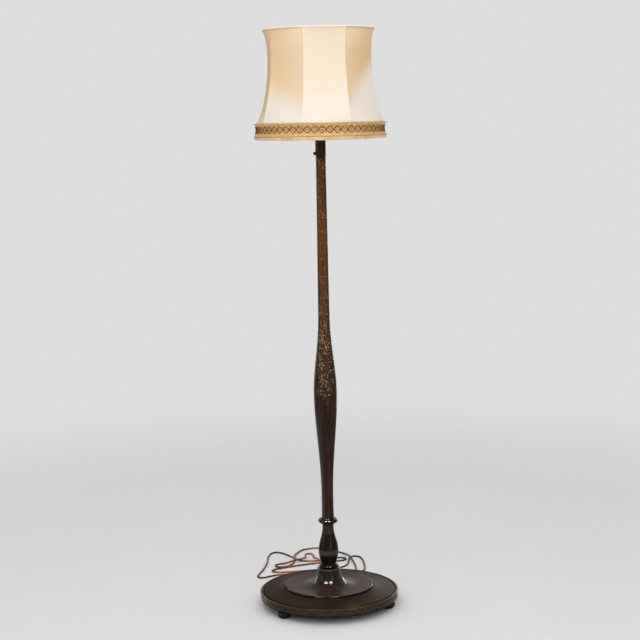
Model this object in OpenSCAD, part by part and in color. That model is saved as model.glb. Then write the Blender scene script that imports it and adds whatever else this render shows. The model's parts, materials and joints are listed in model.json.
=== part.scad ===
// Candlestick floor lamp: a turned wooden column on a round foot, with a bell shade of
// eight stretched panels, a braid-covered gallery and a turn switch under the shade.
// Millimetres. +Z is up. The origin is on the floor, on the column's axis.
// The front of the lamp faces -Y, its switch -X and its cord +Y.

/* [Foot] */
// Diameter of the round base plate
plate_d = 377; // [356:1:420]
// Thickness of the base plate at its rim
plate_t = 21.5; // [18:0.5:30]
// Rise of the plate's top from its rim to the raised disc
crown_h = 9; // [6:0.5:12]
// Depth of the fine groove turned inside the plate's rim
groove_depth = 1.6; // [0.8:0.2:3]
// Diameter of the raised disc at the pedestal's foot
disc_d = 240; // [200:5:280]
// Thickness of the raised disc at its edge
disc_t = 5; // [4.5:0.5:8]
// Height of the pedestal with its disc
pedestal_h = 50.5; // [48:0.5:70]
// Diameter of the pedestal's neck
neck_d = 64; // [58:1:70]
// Height of a bun foot
foot_h = 21; // [16:0.5:32]
// Largest diameter of a bun foot
foot_d = 37; // [32:1:44]
// Distance of the bun feet's middles from the plate's rim
foot_inset = 22.5; // [22.5:0.5:58]
// Direction of the first bun foot, from +X
foot_turn = 103; // [60:1:120]

/* [Column] */
// Height of the vase-shaped piece with its bead
vase_h = 125; // [110:1:150]
// Largest diameter of the vase
vase_d = 54.2; // [48:0.2:60]
// Diameter of the vase's bottom bead
bead_d = 52.4; // [51:0.2:58]
// Height of the collar ring
collar_h = 15; // [14.5:0.5:18]
// Diameter of the collar ring
collar_d = 53.6; // [50:0.2:60]
// Length of the long shaft
shaft_len = 977; // [900:1:1100]
// Diameter of the shaft at its foot
shaft_foot_d = 31.8; // [28:0.2:34]
// Diameter of the shaft at its swell
swell_d = 63; // [50:0.2:70]
// Height of the swell above the shaft's foot
swell_at = 346; // [300:1:380]
// Diameter of the shaft where the swell ends above
slim_d = 30.6; // [26:0.2:34]
// Diameter of the shaft at its top
shaft_top_d = 26.4; // [22:0.1:28]
// Bore of the shaft for the lead
shaft_bore = 10.4; // [10.4:0.2:14]

/* [Switch housing] */
// Length of the switch housing
housing_h = 81; // [70:1:120]
// Outer diameter of the switch housing
housing_d = 28; // [26:0.5:32]
// Wall of the switch housing
housing_wall = 1.2; // [0.8:0.1:2]
// Height of the switch's spindle above the housing's foot
switch_at = 7.2; // [7.2:0.2:40]
// Diameter of the switch knob
knob_d = 8.8; // [7:0.2:14]
// Length of the switch knob
knob_len = 4.6; // [4:0.2:12]
// Diameter of the switch spindle
spindle_d = 3; // [2.4:0.1:3.4]

/* [Lamp holder and bulb] */
// Outer diameter of the lamp holder's threaded barrel
holder_d = 40; // [39:0.5:42]
// Height of the lamp holder's lower cup
cup_h = 22; // [18:1:30]
// Height of the lamp holder's barrel
barrel_h = 34; // [30:1:40]
// Diameter of the bulb
bulb_d = 60; // [45:1:66]
// Length of the bulb above the holder
bulb_h = 82; // [72:1:90]

/* [Shade] */
// Number of panels and struts
panels = 8; // [6:1:10]
// Direction of the first strut, from +X
strut_turn = -16.4; // [-22:0.2:22]
// Height of the bell from the gallery to the top edge
bell_h = 243.5; // [200:0.5:280]
// Diameter of the bell at its top edge
bell_top_d = 295; // [290:1:330]
// Diameter of the bell over its struts at the waist
bell_waist_d = 283; // [256:1:287]
// Diameter of the bell where it meets the gallery
bell_foot_d = 338; // [320:1:345]
// Height of the waist as a share of the bell's height
waist_share = 0.665; // [0.5:0.005:0.75]
// Thickness of the outer cloth
cloth_t = 0.8; // [0.6:0.1:1.2]
// Height of the gallery band
gallery_h = 33.4; // [30:0.2:55]
// Diameter of the gallery over its two rims
gallery_d = 351; // [349:1:370]
// Depth of the gallery's hollow
gallery_cove = 7.5; // [4:0.5:9]
// Diameter of the hem roll below the gallery
hem_d = 5.5; // [5:0.5:9]
// Diameter of the frame wire
wire_d = 3.2; // [2.6:0.1:4]
// Drop of the spider's arms from the holder to the frame
arm_drop = 32; // [15:1:40]

/* [Cord and plug] */
// Diameter of the mains lead
cord_d = 5; // [4.4:0.1:5.2]
// Length of the tapered strain relief at the foot
relief_len = 24; // [20:1:30]
// Length of the plug's body
plug_len = 34; // [32:1:38]
// Width of the plug's body
plug_w = 26; // [25:0.5:30]
// Thickness of the plug's body
plug_t = 13.6; // [12:0.2:15]
// Diameter of a plug pin
pin_d = 4; // [4:0.1:4.8]
// Length of a plug pin
pin_len = 19; // [18:0.5:20]
// Distance between the plug pins
pin_gap = 19; // [17:0.5:19]

/* [Hidden] */
$fn = 96;

// Clearances
fit_gap = 0.2;      // pieces that are pushed or screwed together
free_gap = 0.3;     // pieces that move past each other
run_gap = 0.06;     // a shaft in its bearing, on the radius

// Threaded parts share these standard sizes
tube_d = 10;
tube_bore = 8;
thread_gap = 0.2;
nut_h = 6;
nut_flats = 17;

// Foot
plate_r = plate_d / 2;
foot_circle_r = plate_r - foot_inset;
disc_r = disc_d / 2;
disc_round = 2.4;
rim_bead = 7;
plate_z = foot_h;
pedestal_z = plate_z + plate_t + crown_h;
foot_screw_d = 4.5;
foot_head_d = 9;
foot_head_z = 4;
screw_bite = 14;
chamber_r = 22;
chamber_top = pedestal_z + 12;
cover_r = chamber_r + 8;
cover_t = 1.5;
cover_screw_r = chamber_r + 4;
cover_screw_d = 2.5;
lead_z = plate_z + 10;
lead_hole_d = cord_d + 4.4;
lead_bend = 12;
bush_len = 16;
bush_flange_t = 1.6;

// Column
vase_z = pedestal_z + pedestal_h;
bead_h = 10;
collar_z = vase_z + vase_h;
collar_bead = 5.6;
shaft_z = collar_z + collar_h;
swell_below = 290;
swell_above = 234;
tube_bite = 60;
washer_d = 34;
washer_t = 2.5;
tube_foot_z = chamber_top - washer_t - nut_h - 2;
tube_top_z = shaft_z + tube_bite;

// Switch housing, screwed to the top of the shaft by a short nipple
housing_z = shaft_z + shaft_len;
housing_r = housing_d / 2;
housing_floor = 1.2;
housing_nut_h = 2;
nipple_bite = 20;
switch_z = housing_z + switch_at;
switch_neck_d = 7;
switch_l = 16;
switch_w = 14;
switch_h = 7;
switch_nut_d = 9.4;
switch_nut_t = 1.2;
knob_x = housing_r + switch_nut_t + free_gap;
cap_z = housing_z + housing_h;
cap_t = 6;
cap_plug = 5;

// Lamp holder
holder_z = cap_z + cap_t;
holder_r = holder_d / 2;
holder_wall = 3;
barrel_z = holder_z + cup_h;
flange_at = 7;
flange_t = 2;
flange_r = holder_r + 3;
insert_h = 8;
shell_r = 14.2;
shell_t = 0.5;
bulb_cap_r = shell_r - shell_t - fit_gap;
bulb_seat_z = barrel_z + insert_h + 2.4;
barrel_top = barrel_z + barrel_h;

// Shade: the fitter ring turns on the holder's barrel between the flange and the ring nut
fitter_z = barrel_z + flange_at + flange_t + free_gap;
fitter_t = 2;
fitter_r = holder_r + 6;
ring_nut_z = fitter_z + fitter_t + free_gap;
ring_nut_h = 7;
wire_r = wire_d / 2;
solder_gap = 0.1;
shade_z = fitter_z + fitter_t / 2 - arm_drop;
piping_r = 1.5;
cover_h = bell_h - 2 * piping_r;
cover_top_z = shade_z + cover_h;
bell_top_r = bell_top_d / 2 - 0.5;
bell_waist_r = bell_waist_d / 2;
bell_foot_r = bell_foot_d / 2;
panel_turn = 360 / panels;
strut_in = cloth_t + 1.6;
lining_in = strut_in + wire_d + 1.1;
lining_t = 0.6;
lining_lift = 6;
ring_in = cloth_t + wire_r + 2.4;
gallery_r = gallery_d / 2;
gallery_z = shade_z - gallery_h;
band_t = 1.2;
gallery_ring_r = bell_foot_r - ring_in;
gallery_strut_r = gallery_ring_r + wire_r;
arms = 4;

// Plug and cord. The lead leaves the plate's rim through the strain relief, and the route's
// points then lie on the floor behind the foot: they turn along the rim, loop and end at the plug.
plug_at = [66, 230, plug_t / 2];
plug_tail = 20;
pin_root = 6;
cord_sides = 8;
cord_steps = 2;
ground = cord_d / 2;
hump = ground + cord_d + 1;
exit_y = plate_r + relief_len + 1;
route = [
    [0, plate_r, lead_z],
    [0, exit_y - 4, lead_z],
    [0, exit_y, lead_z],
    [0, exit_y + 12, lead_z - 1.5],
    [-8, exit_y + 34, 19],
    [-30, 276, 7],
    [-70, 279, ground],
    [-118, 271, ground],
    [-154, 262, ground],
    [-174, 250, ground],
    [-186, 241, ground],
    [-198, 241, ground],
    [-205, 251, ground],
    [-203, 275, ground],
    [-194, 312, ground],
    [-183, 394, ground],
    [-180, 460, ground],
    [-173, 488, ground],
    [-159, 500, ground],
    [-141, 489, ground],
    [-111, 447, ground],
    [-79, 404, ground],
    [-45, 400, ground],
    [5, 421, ground],
    [30, 430, ground],
    [47, 426, ground],
    [53, 412, ground],
    [43, 400, ground],
    [18, 395, ground],
    [-35, 377, ground],
    [-79, 360, ground],
    [-117, 342, ground],
    [-146, 327, ground],
    [-161, 317, ground],
    [-165, 303, ground],
    [-153, 292, ground],
    [-119, 293, ground],
    [-50, 304, ground],
    [10, 317, ground],
    [43, 334, ground],
    [57, 362, ground],
    [62, 404, ground],
    [67, 430, ground],
    [79, 444, ground],
    [93, 436, ground],
    [101, 412, ground],
    [106, 366, ground],
    [106, 310, ground],
    [103, 292, ground],
    [94, 283, ground],
    [84, 290, ground],
    [81, 308, ground],
    [80, 338, ground],
    [75, 380, ground + 1],
    [63, 428, hump],
    [43, 476, ground + 1],
    [5, 516, ground],
    [-40, 538, ground],
    [-74, 524, ground],
    [-94, 485, ground + 1],
    [-102, 434, hump],
    [-104, 382, ground],
    [-117, 354, ground],
    [-138, 343, ground],
    [-153, 347, ground],
    [-158, 360, ground],
    [-148, 373, ground],
    [-128, 378, ground + 1.5],
    [-102, 388, hump],
    [-77, 406, hump],
    [-67, 438, ground + 1.5],
    [-70, 463, ground],
    [-65, 477, ground],
    [-54, 478, ground],
    [-47, 464, ground],
    [-43, 432, ground + 1.5],
    [-33, 404, hump],
    [-23, 378, hump],
    [-6, 348, ground + 1.5],
    [10, 317, hump],
    [18, 286, ground + 1],
    [20, 262, ground],
    [27, 242, ground + 1],
    [plug_at[0] - plug_tail, plug_at[1], plug_at[2]]
];

// ---------------------------------------------------------------- curves and outlines

// Direction of a smooth curve at b, between its neighbours a and c
function heading(a, b, c) =
    let (u = norm(b - a), v = norm(c - b))
    ((b - a) / u * v + (c - b) / v * u) / (u + v);

// Point at share t of the smooth curve between b and c, with neighbours a and d
function on_curve(a, b, c, d, t) =
    let (
        s = norm(c - b),
        m = (a == b) ? (c - b) / s : heading(a, b, c),
        n = (c == d) ? (c - b) / s : heading(b, c, d)
    )
    (2 * t * t * t - 3 * t * t + 1) * b + (t * t * t - 2 * t * t + t) * s * m
    + (3 * t * t - 2 * t * t * t) * c + (t * t * t - t * t) * s * n;

// A smooth curve through the given points, with n steps between each two
function smooth(p, n) = concat(
    [for (i = [0 : len(p) - 2]) for (k = [0 : n - 1])
        on_curve(p[max(i - 1, 0)], p[i], p[i + 1], p[min(i + 2, len(p) - 1)], k / n)],
    [p[len(p) - 1]]
);

// An arc of radius r about c, from angle a0 to a1
function arc(c, r, a0, a1, n) =
    [for (i = [0 : n]) c + r * [cos(a0 + (a1 - a0) * i / n), sin(a0 + (a1 - a0) * i / n)]];

// A gentle start and end, from 0 to 1
function ease(t) = 3 * t * t - 2 * t * t * t;

module turned(outline, z = 0) {
    translate([0, 0, z]) rotate_extrude() polygon(outline);
}

module ring(inner_r, outer_r, z, h) {
    translate([0, 0, z]) difference() {
        cylinder(r = outer_r, h = h);
        translate([0, 0, -1]) cylinder(r = inner_r, h = h + 2);
    }
}

module wire_ring(r, z, thick_r) {
    translate([0, 0, z]) rotate_extrude() translate([r, 0]) circle(r = thick_r, $fn = 24);
}

module tube(outer_d, inner_d, z, h) {
    ring(inner_d / 2, outer_d / 2, z, h);
}

// Hexagonal nut with a plain bore
module hex_nut(flats, bore_d, z, h) {
    translate([0, 0, z]) difference() {
        cylinder(d = flats / cos(30), h = h, $fn = 6);
        translate([0, 0, -1]) cylinder(d = bore_d, h = h + 2, $fn = 48);
    }
}

// ---------------------------------------------------------------- foot

plate_outline = concat(
    [[chamber_r, 0], [plate_r - 4, 0]],
    arc([plate_r - 4.5, 3], 3, -90, 0, 5),
    [[plate_r - 1.5, plate_t - rim_bead - 1.5], [plate_r - 2.6, plate_t - rim_bead]],
    arc([plate_r - rim_bead / 2, plate_t - rim_bead / 2], rim_bead / 2, -60, 150, 10),
    [[plate_r - rim_bead - 0.6, plate_t - groove_depth - 0.8],
     [plate_r - rim_bead - 2, plate_t - groove_depth - 0.8],
     [plate_r - rim_bead - 2.6, plate_t - 0.6]],
    smooth([[plate_r - rim_bead - 6, plate_t], [plate_r - 30, plate_t + crown_h * 0.2],
            [disc_r + 22, plate_t + crown_h * 0.4], [disc_r + 10, plate_t + crown_h * 0.72],
            [disc_r + 3.4, plate_t + crown_h - 0.4]], 4),
    [[disc_r + 2.2, plate_t + crown_h], [disc_r + 1, plate_t + crown_h - 0.6],
     [disc_r + 0.6, plate_t + crown_h - 1.4], [disc_r - 1, plate_t + crown_h - 1.4],
     [disc_r - 2, plate_t + crown_h], [chamber_r, plate_t + crown_h]]
);

module lead_hole() {
    translate([0, 0, lead_z]) rotate([-90, 0, 0]) cylinder(d = lead_hole_d, h = plate_r + 5, $fn = 32);
}

module base_plate() {
    color("#3a2a20") difference() {
        turned(plate_outline, plate_z);
        lead_hole();
        for (i = [0 : 2]) at_foot(i) {
            translate([0, 0, plate_z - 1])
                cylinder(d = foot_screw_d + fit_gap, h = screw_bite + 2, $fn = 24);
        }
        for (a = [0 : 120 : 240]) rotate(a + 30) translate([cover_screw_r, 0, plate_z - 1])
            cylinder(d = cover_screw_d + fit_gap, h = 9, $fn = 24);
    }
}

neck_r = neck_d / 2;
pedestal_outline = concat(
    [[chamber_r, 0], [disc_r - 2.4, 0], [disc_r, 1], [disc_r, disc_t - disc_round]],
    arc([disc_r - disc_round, disc_t - disc_round], disc_round, 0, 90, 5),
    smooth([[disc_r - 8, disc_t - 0.3], [disc_r - 30, disc_t - 1.2],
            [neck_r + 40, disc_t - 0.9], [neck_r + 27, disc_t + 1.4], [neck_r + 16, disc_t + 5.5],
            [neck_r + 8, disc_t + 13.5], [neck_r + 2.6, disc_t + 24],
            [neck_r + 0.6, pedestal_h * 0.74], [neck_r, pedestal_h - 4]], 4),
    [[neck_r - 1, pedestal_h - 1], [neck_r - 3, pedestal_h],
     [tube_d / 2 + fit_gap, pedestal_h], [tube_d / 2 + fit_gap, chamber_top - pedestal_z],
     [chamber_r, chamber_top - pedestal_z]]
);

module pedestal() {
    color("#38281f") turned(pedestal_outline, pedestal_z);
}

module at_foot(i) {
    rotate(foot_turn + 120 * i) translate([foot_circle_r, 0, 0]) children();
}

foot_r = foot_d / 2;
foot_outline = concat(
    [[foot_head_d / 2 + 0.5, 0], [foot_r - 8, 0]],
    smooth([[foot_r - 5, 0.8], [foot_r - 0.8, foot_h * 0.3], [foot_r, foot_h * 0.5],
            [foot_r - 1.2, foot_h * 0.74], [foot_r - 5, foot_h - 2]], 4),
    [[foot_r - 5, foot_h], [foot_screw_d / 2 + 0.3, foot_h],
     [foot_screw_d / 2 + 0.3, foot_head_z + 3.2], [foot_head_d / 2 + 0.5, foot_head_z + 3.2]]
);

module bun_foot(i) {
    color("#15110e") at_foot(i) turned(foot_outline);
}

module foot_screw(i) {
    color("#9a9a94") at_foot(i) difference() {
        union() {
            translate([0, 0, foot_head_z]) cylinder(d = foot_head_d, h = 3, $fn = 32);
            translate([0, 0, foot_head_z])
                cylinder(d = foot_screw_d, h = plate_z + screw_bite - foot_head_z - 1, $fn = 24);
        }
        translate([-foot_head_d, -0.6, foot_head_z - 1]) cube([foot_head_d * 2, 1.2, 2.2]);
    }
}

module chamber_cover() {
    color("#2c2c2a") difference() {
        translate([0, 0, plate_z - cover_t - fit_gap]) cylinder(r = cover_r, h = cover_t);
        for (a = [0 : 120 : 240]) rotate(a + 30) translate([cover_screw_r, 0, plate_z - 5])
            cylinder(d = cover_screw_d + fit_gap, h = 9, $fn = 24);
    }
}

module cover_screws() {
    color("#8c8c86") for (a = [0 : 120 : 240]) rotate(a + 30) translate([cover_screw_r, 0, 0]) {
        translate([0, 0, plate_z - cover_t - fit_gap - 1.8]) cylinder(d = 5, h = 1.8, $fn = 24);
        translate([0, 0, plate_z - cover_t - fit_gap - 1]) cylinder(d = cover_screw_d, h = 9, $fn = 24);
    }
}

module tie_tube() {
    color("#b9b8b0") tube(tube_d, tube_bore, tube_foot_z, tube_top_z - tube_foot_z);
}

module tie_washer() {
    color("#b0afa8") tube(washer_d, tube_d + 2 * thread_gap, chamber_top - washer_t - 0.1, washer_t);
}

module tie_nut() {
    color("#a5a49c")
        hex_nut(nut_flats, tube_d + 2 * thread_gap, chamber_top - washer_t - nut_h - 0.2, nut_h);
}

// ---------------------------------------------------------------- column

tube_hole_r = tube_d / 2 + fit_gap;
bead_r = bead_d / 2;
vase_r = vase_d / 2;
vase_outline = concat(
    [[tube_hole_r, 0], [bead_r - 3.5, 0]],
    arc([bead_r - bead_h / 2, bead_h / 2], bead_h / 2, -80, 80, 8),
    [[vase_r - 7.2, bead_h + 0.8]],
    smooth([[vase_r - 7.6, bead_h + 3], [vase_r - 5, bead_h + 10], [vase_r - 2, bead_h + 20],
            [vase_r, bead_h + 36], [vase_r - 2.6, bead_h + 59], [shaft_foot_d / 2 + 2.2, vase_h - 33],
            [shaft_foot_d / 2 - 0.8, vase_h - 13], [shaft_foot_d / 2 - 0.4, vase_h]], 4),
    [[tube_hole_r, vase_h]]
);

module vase() {
    color("#33251c") turned(vase_outline, vase_z + 0.1);
}

collar_r = collar_d / 2;
collar_outline = concat(
    [[tube_hole_r, 0.2], [shaft_foot_d / 2 + 1, 0.2]],
    arc([collar_r - collar_bead, collar_bead + 1], collar_bead, -110, 115, 14),
    arc([shaft_foot_d / 2 + 1.2, collar_h - 1.8], 1.8, -40, 90, 5),
    [[tube_hole_r, collar_h]]
);

module collar_ring() {
    color("#16110e") turned(collar_outline, collar_z);
}

slim_r = slim_d / 2;
swell_r = swell_d / 2;
shaft_foot_r = shaft_foot_d / 2;
shaft_outline = concat(
    [[tube_hole_r, 0.1], [shaft_foot_r + 0.8, 0.1], [shaft_foot_r + 0.3, 18]],
    [for (i = [0 : 20]) let (t = i / 20)
        [shaft_foot_r + (swell_r - shaft_foot_r) * pow(ease(t), 1.15),
         swell_at - swell_below * (1 - t)]],
    [for (i = [1 : 18]) let (t = i / 18)
        [slim_r + (swell_r - slim_r) * pow(ease(1 - t), 1.45), swell_at + swell_above * t]],
    [[shaft_top_d / 2 + 0.2, shaft_len - 60], [shaft_top_d / 2, shaft_len - 1],
     [shaft_top_d / 2 - 0.8, shaft_len], [shaft_bore / 2, shaft_len],
     [shaft_bore / 2, shaft_len - 30], [shaft_bore / 2, tube_bite + 5], [tube_hole_r, tube_bite + 5]]
);

module shaft() {
    color("#4a2c1b") turned(shaft_outline, shaft_z);
}

// ---------------------------------------------------------------- switch housing

module pole_nipple() {
    color("#b9a15c")
        tube(tube_d, tube_bore, housing_z - nipple_bite,
             nipple_bite + housing_floor + housing_nut_h + 0.2);
}

module switch_housing() {
    color("#2b2018") difference() {
        translate([0, 0, housing_z + 0.1]) cylinder(r = housing_r, h = housing_h - 0.1);
        translate([0, 0, housing_z + housing_floor]) cylinder(r = housing_r - housing_wall, h = housing_h);
        translate([0, 0, housing_z - 1]) cylinder(d = tube_d + 2 * thread_gap, h = 5, $fn = 48);
        translate([-housing_r - 2, 0, switch_z]) rotate([0, 90, 0])
            cylinder(d = switch_neck_d + 2 * fit_gap, h = housing_r, $fn = 32);
    }
}

module housing_nut() {
    color("#b9a15c")
        hex_nut(14, tube_d + 2 * thread_gap, housing_z + housing_floor + 0.1, housing_nut_h);
}

module housing_cap() {
    color("#2b2018") {
        turned([[tube_d / 2 + thread_gap, 0], [housing_r, 0], [housing_r, 1.5], [housing_r - 2, 4],
                [housing_r - 5, cap_t - 0.1], [tube_d / 2 + thread_gap, cap_t - 0.1]], cap_z + 0.05);
        ring(housing_r - housing_wall - 1.5, housing_r - housing_wall - fit_gap,
             cap_z - cap_plug, cap_plug + 0.1);
    }
}

module top_nipple() {
    color("#b9a15c") tube(tube_d, tube_bore, cap_z - 4, cap_t + 14);
}

module switch_body() {
    color("#1c1a18") difference() {
        union() {
            translate([-switch_l / 2, -switch_w / 2, switch_z - switch_h / 2])
                cube([switch_l, switch_w, switch_h]);
            translate([-housing_r - switch_nut_t, 0, switch_z]) rotate([0, 90, 0])
                cylinder(d = switch_neck_d, h = housing_r, $fn = 32);
        }
        translate([-housing_r - 5, 0, switch_z]) rotate([0, 90, 0])
            cylinder(r = spindle_d / 2 + run_gap, h = housing_r + 2, $fn = 32);
    }
}

module switch_nut() {
    color("#3a3026") translate([-housing_r - switch_nut_t, 0, switch_z]) rotate([0, 90, 0])
        tube(switch_nut_d, switch_neck_d + 2 * thread_gap, 0, switch_nut_t - 0.1);
}

module switch_spindle() {
    color("#b9a15c") translate([-knob_x - knob_len + 1, 0, switch_z]) rotate([0, 90, 0])
        cylinder(d = spindle_d, h = knob_x + knob_len - 1 - 4, $fn = 32);
}

knob_r = knob_d / 2;
knob_outline = concat(
    [[spindle_d / 2 + 0.02, 0], [knob_r - 0.8, 0], [knob_r, 0.8], [knob_r, knob_len * 0.45]],
    smooth([[knob_r - 0.1, knob_len * 0.5], [knob_r - 1, knob_len * 0.8],
            [knob_r - 3, knob_len - 0.1], [0, knob_len]], 4),
    [[0, knob_len - 0.9], [spindle_d / 2 + 0.02, knob_len - 0.9]]
);

module switch_knob() {
    color("#0e0d0c") translate([-knob_x, 0, switch_z]) rotate([0, -90, 0]) difference() {
        rotate_extrude($fn = 48) polygon(knob_outline);
        for (a = [0 : 30 : 330]) rotate(a) translate([knob_r + 0.35, 0, -1])
            cylinder(r = 0.6, h = knob_len * 0.55 + 1, $fn = 16);
    }
}

// The lead inside the lamp: from the rear of the plate up the tube and the bored shaft
module inner_lead() {
    color("#5c2a20") {
        translate([0, lead_bend, lead_z]) rotate([-90, 0, 0])
            cylinder(d = cord_d, h = plate_r - lead_bend - 0.1, $fn = 24);
        translate([0, lead_bend, lead_z + lead_bend]) rotate([90, 0, 90]) rotate([0, 0, 180])
            rotate_extrude(angle = 90) translate([lead_bend, 0]) circle(d = cord_d, $fn = 24);
        translate([0, 0, lead_z + lead_bend])
            cylinder(d = cord_d, h = switch_z - switch_h / 2 - lead_z - lead_bend - 0.1, $fn = 24);
    }
}

module holder_wires() {
    wire_z = switch_z + switch_h / 2 + 0.1;
    color("#6b4a2a") for (x = [-2, 2]) translate([x, 0, wire_z])
        cylinder(d = 1.8, h = barrel_z - wire_z - 0.5, $fn = 16);
}

// ---------------------------------------------------------------- lamp holder and bulb

module holder_cup() {
    color("#1a1715") turned(concat(
        [[tube_d / 2 + thread_gap, 0], [13, 0]],
        smooth([[14.5, 1], [holder_r - 2.5, cup_h * 0.4], [holder_r - 0.4, cup_h - 6]], 4),
        [[holder_r - 0.4, cup_h - 0.1], [holder_r - holder_wall, cup_h - 0.1],
         [holder_r - holder_wall - 1, cup_h * 0.5], [10, 6], [tube_d / 2 + thread_gap, 6]]
    ), holder_z);
}

module holder_barrel() {
    color("#1a1715") {
        ring(holder_r - holder_wall, holder_r, barrel_z, barrel_h);
        ring(holder_r - 1, flange_r, barrel_z + flange_at, flange_t);
    }
}

module holder_insert() {
    color("#ece7da") difference() {
        translate([0, 0, barrel_z]) cylinder(r = holder_r - holder_wall - fit_gap, h = insert_h);
        for (x = [-2, 2]) translate([x, 0, barrel_z - 1]) cylinder(d = 2.4, h = insert_h + 2, $fn = 16);
    }
}

module screw_shell() {
    color("#c9a44a") tube(2 * shell_r, 2 * (shell_r - shell_t), barrel_z + insert_h + 0.1,
                          barrel_h - insert_h - 6);
}

module centre_contact() {
    color("#c9a44a") translate([0, 0, barrel_z + insert_h + 0.05]) cylinder(r = 4.5, h = 2, $fn = 24);
}

module shade_ring_nut() {
    color("#1a1715") difference() {
        ring(holder_r + fit_gap, holder_r + 5, ring_nut_z, ring_nut_h);
        for (a = [0 : 15 : 345]) rotate(a) translate([holder_r + 5.6, 0, ring_nut_z - 1])
            cylinder(r = 1.1, h = ring_nut_h + 2, $fn = 16);
    }
}

module bulb_cap() {
    color("#b8b8b2") {
        translate([0, 0, bulb_seat_z]) cylinder(r1 = 5, r2 = 9, h = 3);
        translate([0, 0, bulb_seat_z + 3]) cylinder(r1 = 9, r2 = bulb_cap_r, h = 2);
        translate([0, 0, bulb_seat_z + 5]) cylinder(r = bulb_cap_r, h = barrel_top - bulb_seat_z - 5);
    }
}

bulb_r = bulb_d / 2;
glass_outline = concat(
    [[0, 0.1], [bulb_cap_r - 0.8, 0.1]],
    smooth([[bulb_cap_r - 0.4, 4], [bulb_cap_r + 2.5, 14], [bulb_r - 5, bulb_h - bulb_r - 15],
            [bulb_r, bulb_h - bulb_r]], 6),
    arc([0, bulb_h - bulb_r], bulb_r, 6, 90, 12)
);

module bulb_glass() {
    color([0.95, 0.94, 0.9, 0.6]) difference() {
        turned(glass_outline, barrel_top);
        turned(concat([[0, 3]],
            smooth([[bulb_cap_r - 2.5, 3], [bulb_cap_r + 1.3, 14], [bulb_r - 6.2, bulb_h - bulb_r - 15],
                    [bulb_r - 1.2, bulb_h - bulb_r]], 6),
            arc([0, bulb_h - bulb_r], bulb_r - 1.2, 6, 90, 12)), barrel_top);
    }
}

module bulb_filament() {
    mount_h = bulb_h - bulb_r - 6;
    color("#c8c4ba") {
        turned([[0, 3.2], [7, 3.2], [3.5, 12], [2.2, mount_h * 0.7], [0, mount_h * 0.7]], barrel_top);
        for (side = [-1, 1]) translate([side * 1.4, 0, barrel_top + mount_h * 0.6])
            rotate([0, side * 38, 0]) cylinder(d = 0.8, h = mount_h * 0.62, $fn = 13);
        translate([-mount_h * 0.42, 0, barrel_top + mount_h * 1.05]) rotate([0, 90, 0])
            cylinder(d = 1, h = mount_h * 0.84, $fn = 13);
    }
}

// ---------------------------------------------------------------- shade

// Radius over the struts at share t of the bell's height
function bell_r(t) = (t < waist_share)
    ? bell_waist_r + (bell_foot_r - bell_waist_r) * pow((waist_share - t) / waist_share, 1.8)
    : bell_waist_r + (bell_top_r - bell_waist_r) * pow((t - waist_share) / (1 - waist_share), 3);

// The stretched panels are round at the rings and flat between the struts
function pull(t) = pow(max(0, sin(180 * t)), 0.6);
function panel_r(t, a) =
    let (off = a - panel_turn * round(a / panel_turn - 0.5) - panel_turn / 2)
    bell_r(t) * (1 - pull(t) * (1 - cos(panel_turn / 2) / cos(off)));

// A thin shell that follows the panels, inset from the outside of the cloth
module panel_shell(inset, thick, t0, t1, columns, levels) {
    count = panels * columns;
    function at(level, col, deep) =
        let (t = t0 + (t1 - t0) * level / levels, a = 360 * col / count, r = panel_r(t, a) - deep)
        [r * cos(a + strut_turn), r * sin(a + strut_turn), shade_z + cover_h * t];
    function id(side, level, col) = (side * (levels + 1) + level) * count + col % count;
    points = [for (side = [0, 1]) for (level = [0 : levels]) for (col = [0 : count - 1])
        at(level, col, inset + side * thick)];
    faces = concat(
        [for (level = [0 : levels - 1]) for (col = [0 : count - 1]) for (half = [0, 1])
            half == 0 ? [id(0, level, col), id(0, level + 1, col), id(0, level + 1, col + 1)]
                      : [id(0, level, col), id(0, level + 1, col + 1), id(0, level, col + 1)]],
        [for (level = [0 : levels - 1]) for (col = [0 : count - 1]) for (half = [0, 1])
            half == 0 ? [id(1, level, col), id(1, level + 1, col + 1), id(1, level + 1, col)]
                      : [id(1, level, col), id(1, level, col + 1), id(1, level + 1, col + 1)]],
        [for (col = [0 : count - 1]) for (half = [0, 1])
            half == 0 ? [id(0, 0, col), id(0, 0, col + 1), id(1, 0, col + 1)]
                      : [id(0, 0, col), id(1, 0, col + 1), id(1, 0, col)]],
        [for (col = [0 : count - 1]) for (half = [0, 1])
            half == 0 ? [id(0, levels, col), id(1, levels, col + 1), id(0, levels, col + 1)]
                      : [id(0, levels, col), id(1, levels, col), id(1, levels, col + 1)]]
    );
    polyhedron(points, faces, convexity = 6);
}

module shade_cover() {
    color("#f0e2c6") panel_shell(0, cloth_t, 0.001, 1, 5, 14);
}

module shade_lining() {
    color("#e9bd93") panel_shell(lining_in, lining_t, lining_lift / cover_h, 0.985, 4, 9);
}

module at_strut(i) {
    rotate(strut_turn + panel_turn * i) children();
}

// A flat strut bent to the bell's outline
module bell_strut() {
    low = (wire_r + solder_gap) / cover_h;
    high = 1 - (wire_d + 2 * solder_gap) / cover_h;
    steps = 16;
    outline = concat(
        [for (i = [0 : steps]) let (t = low + (high - low) * i / steps)
            [bell_r(t) - strut_in, cover_h * t]],
        [for (i = [steps : -1 : 0]) let (t = low + (high - low) * i / steps)
            [bell_r(t) - strut_in - wire_d, cover_h * t]]
    );
    translate([0, wire_r, shade_z]) rotate([90, 0, 0]) linear_extrude(wire_d) polygon(outline);
}

module shade_struts() {
    color("#b8b2a2") for (i = [0 : panels - 1]) at_strut(i) bell_strut();
}

module top_wire() {
    color("#b8b2a2") wire_ring(bell_top_r - ring_in, cover_top_z - wire_r - solder_gap, wire_r);
}

module gallery_wire() {
    color("#b8b2a2") wire_ring(gallery_ring_r, shade_z, wire_r);
}

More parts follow.
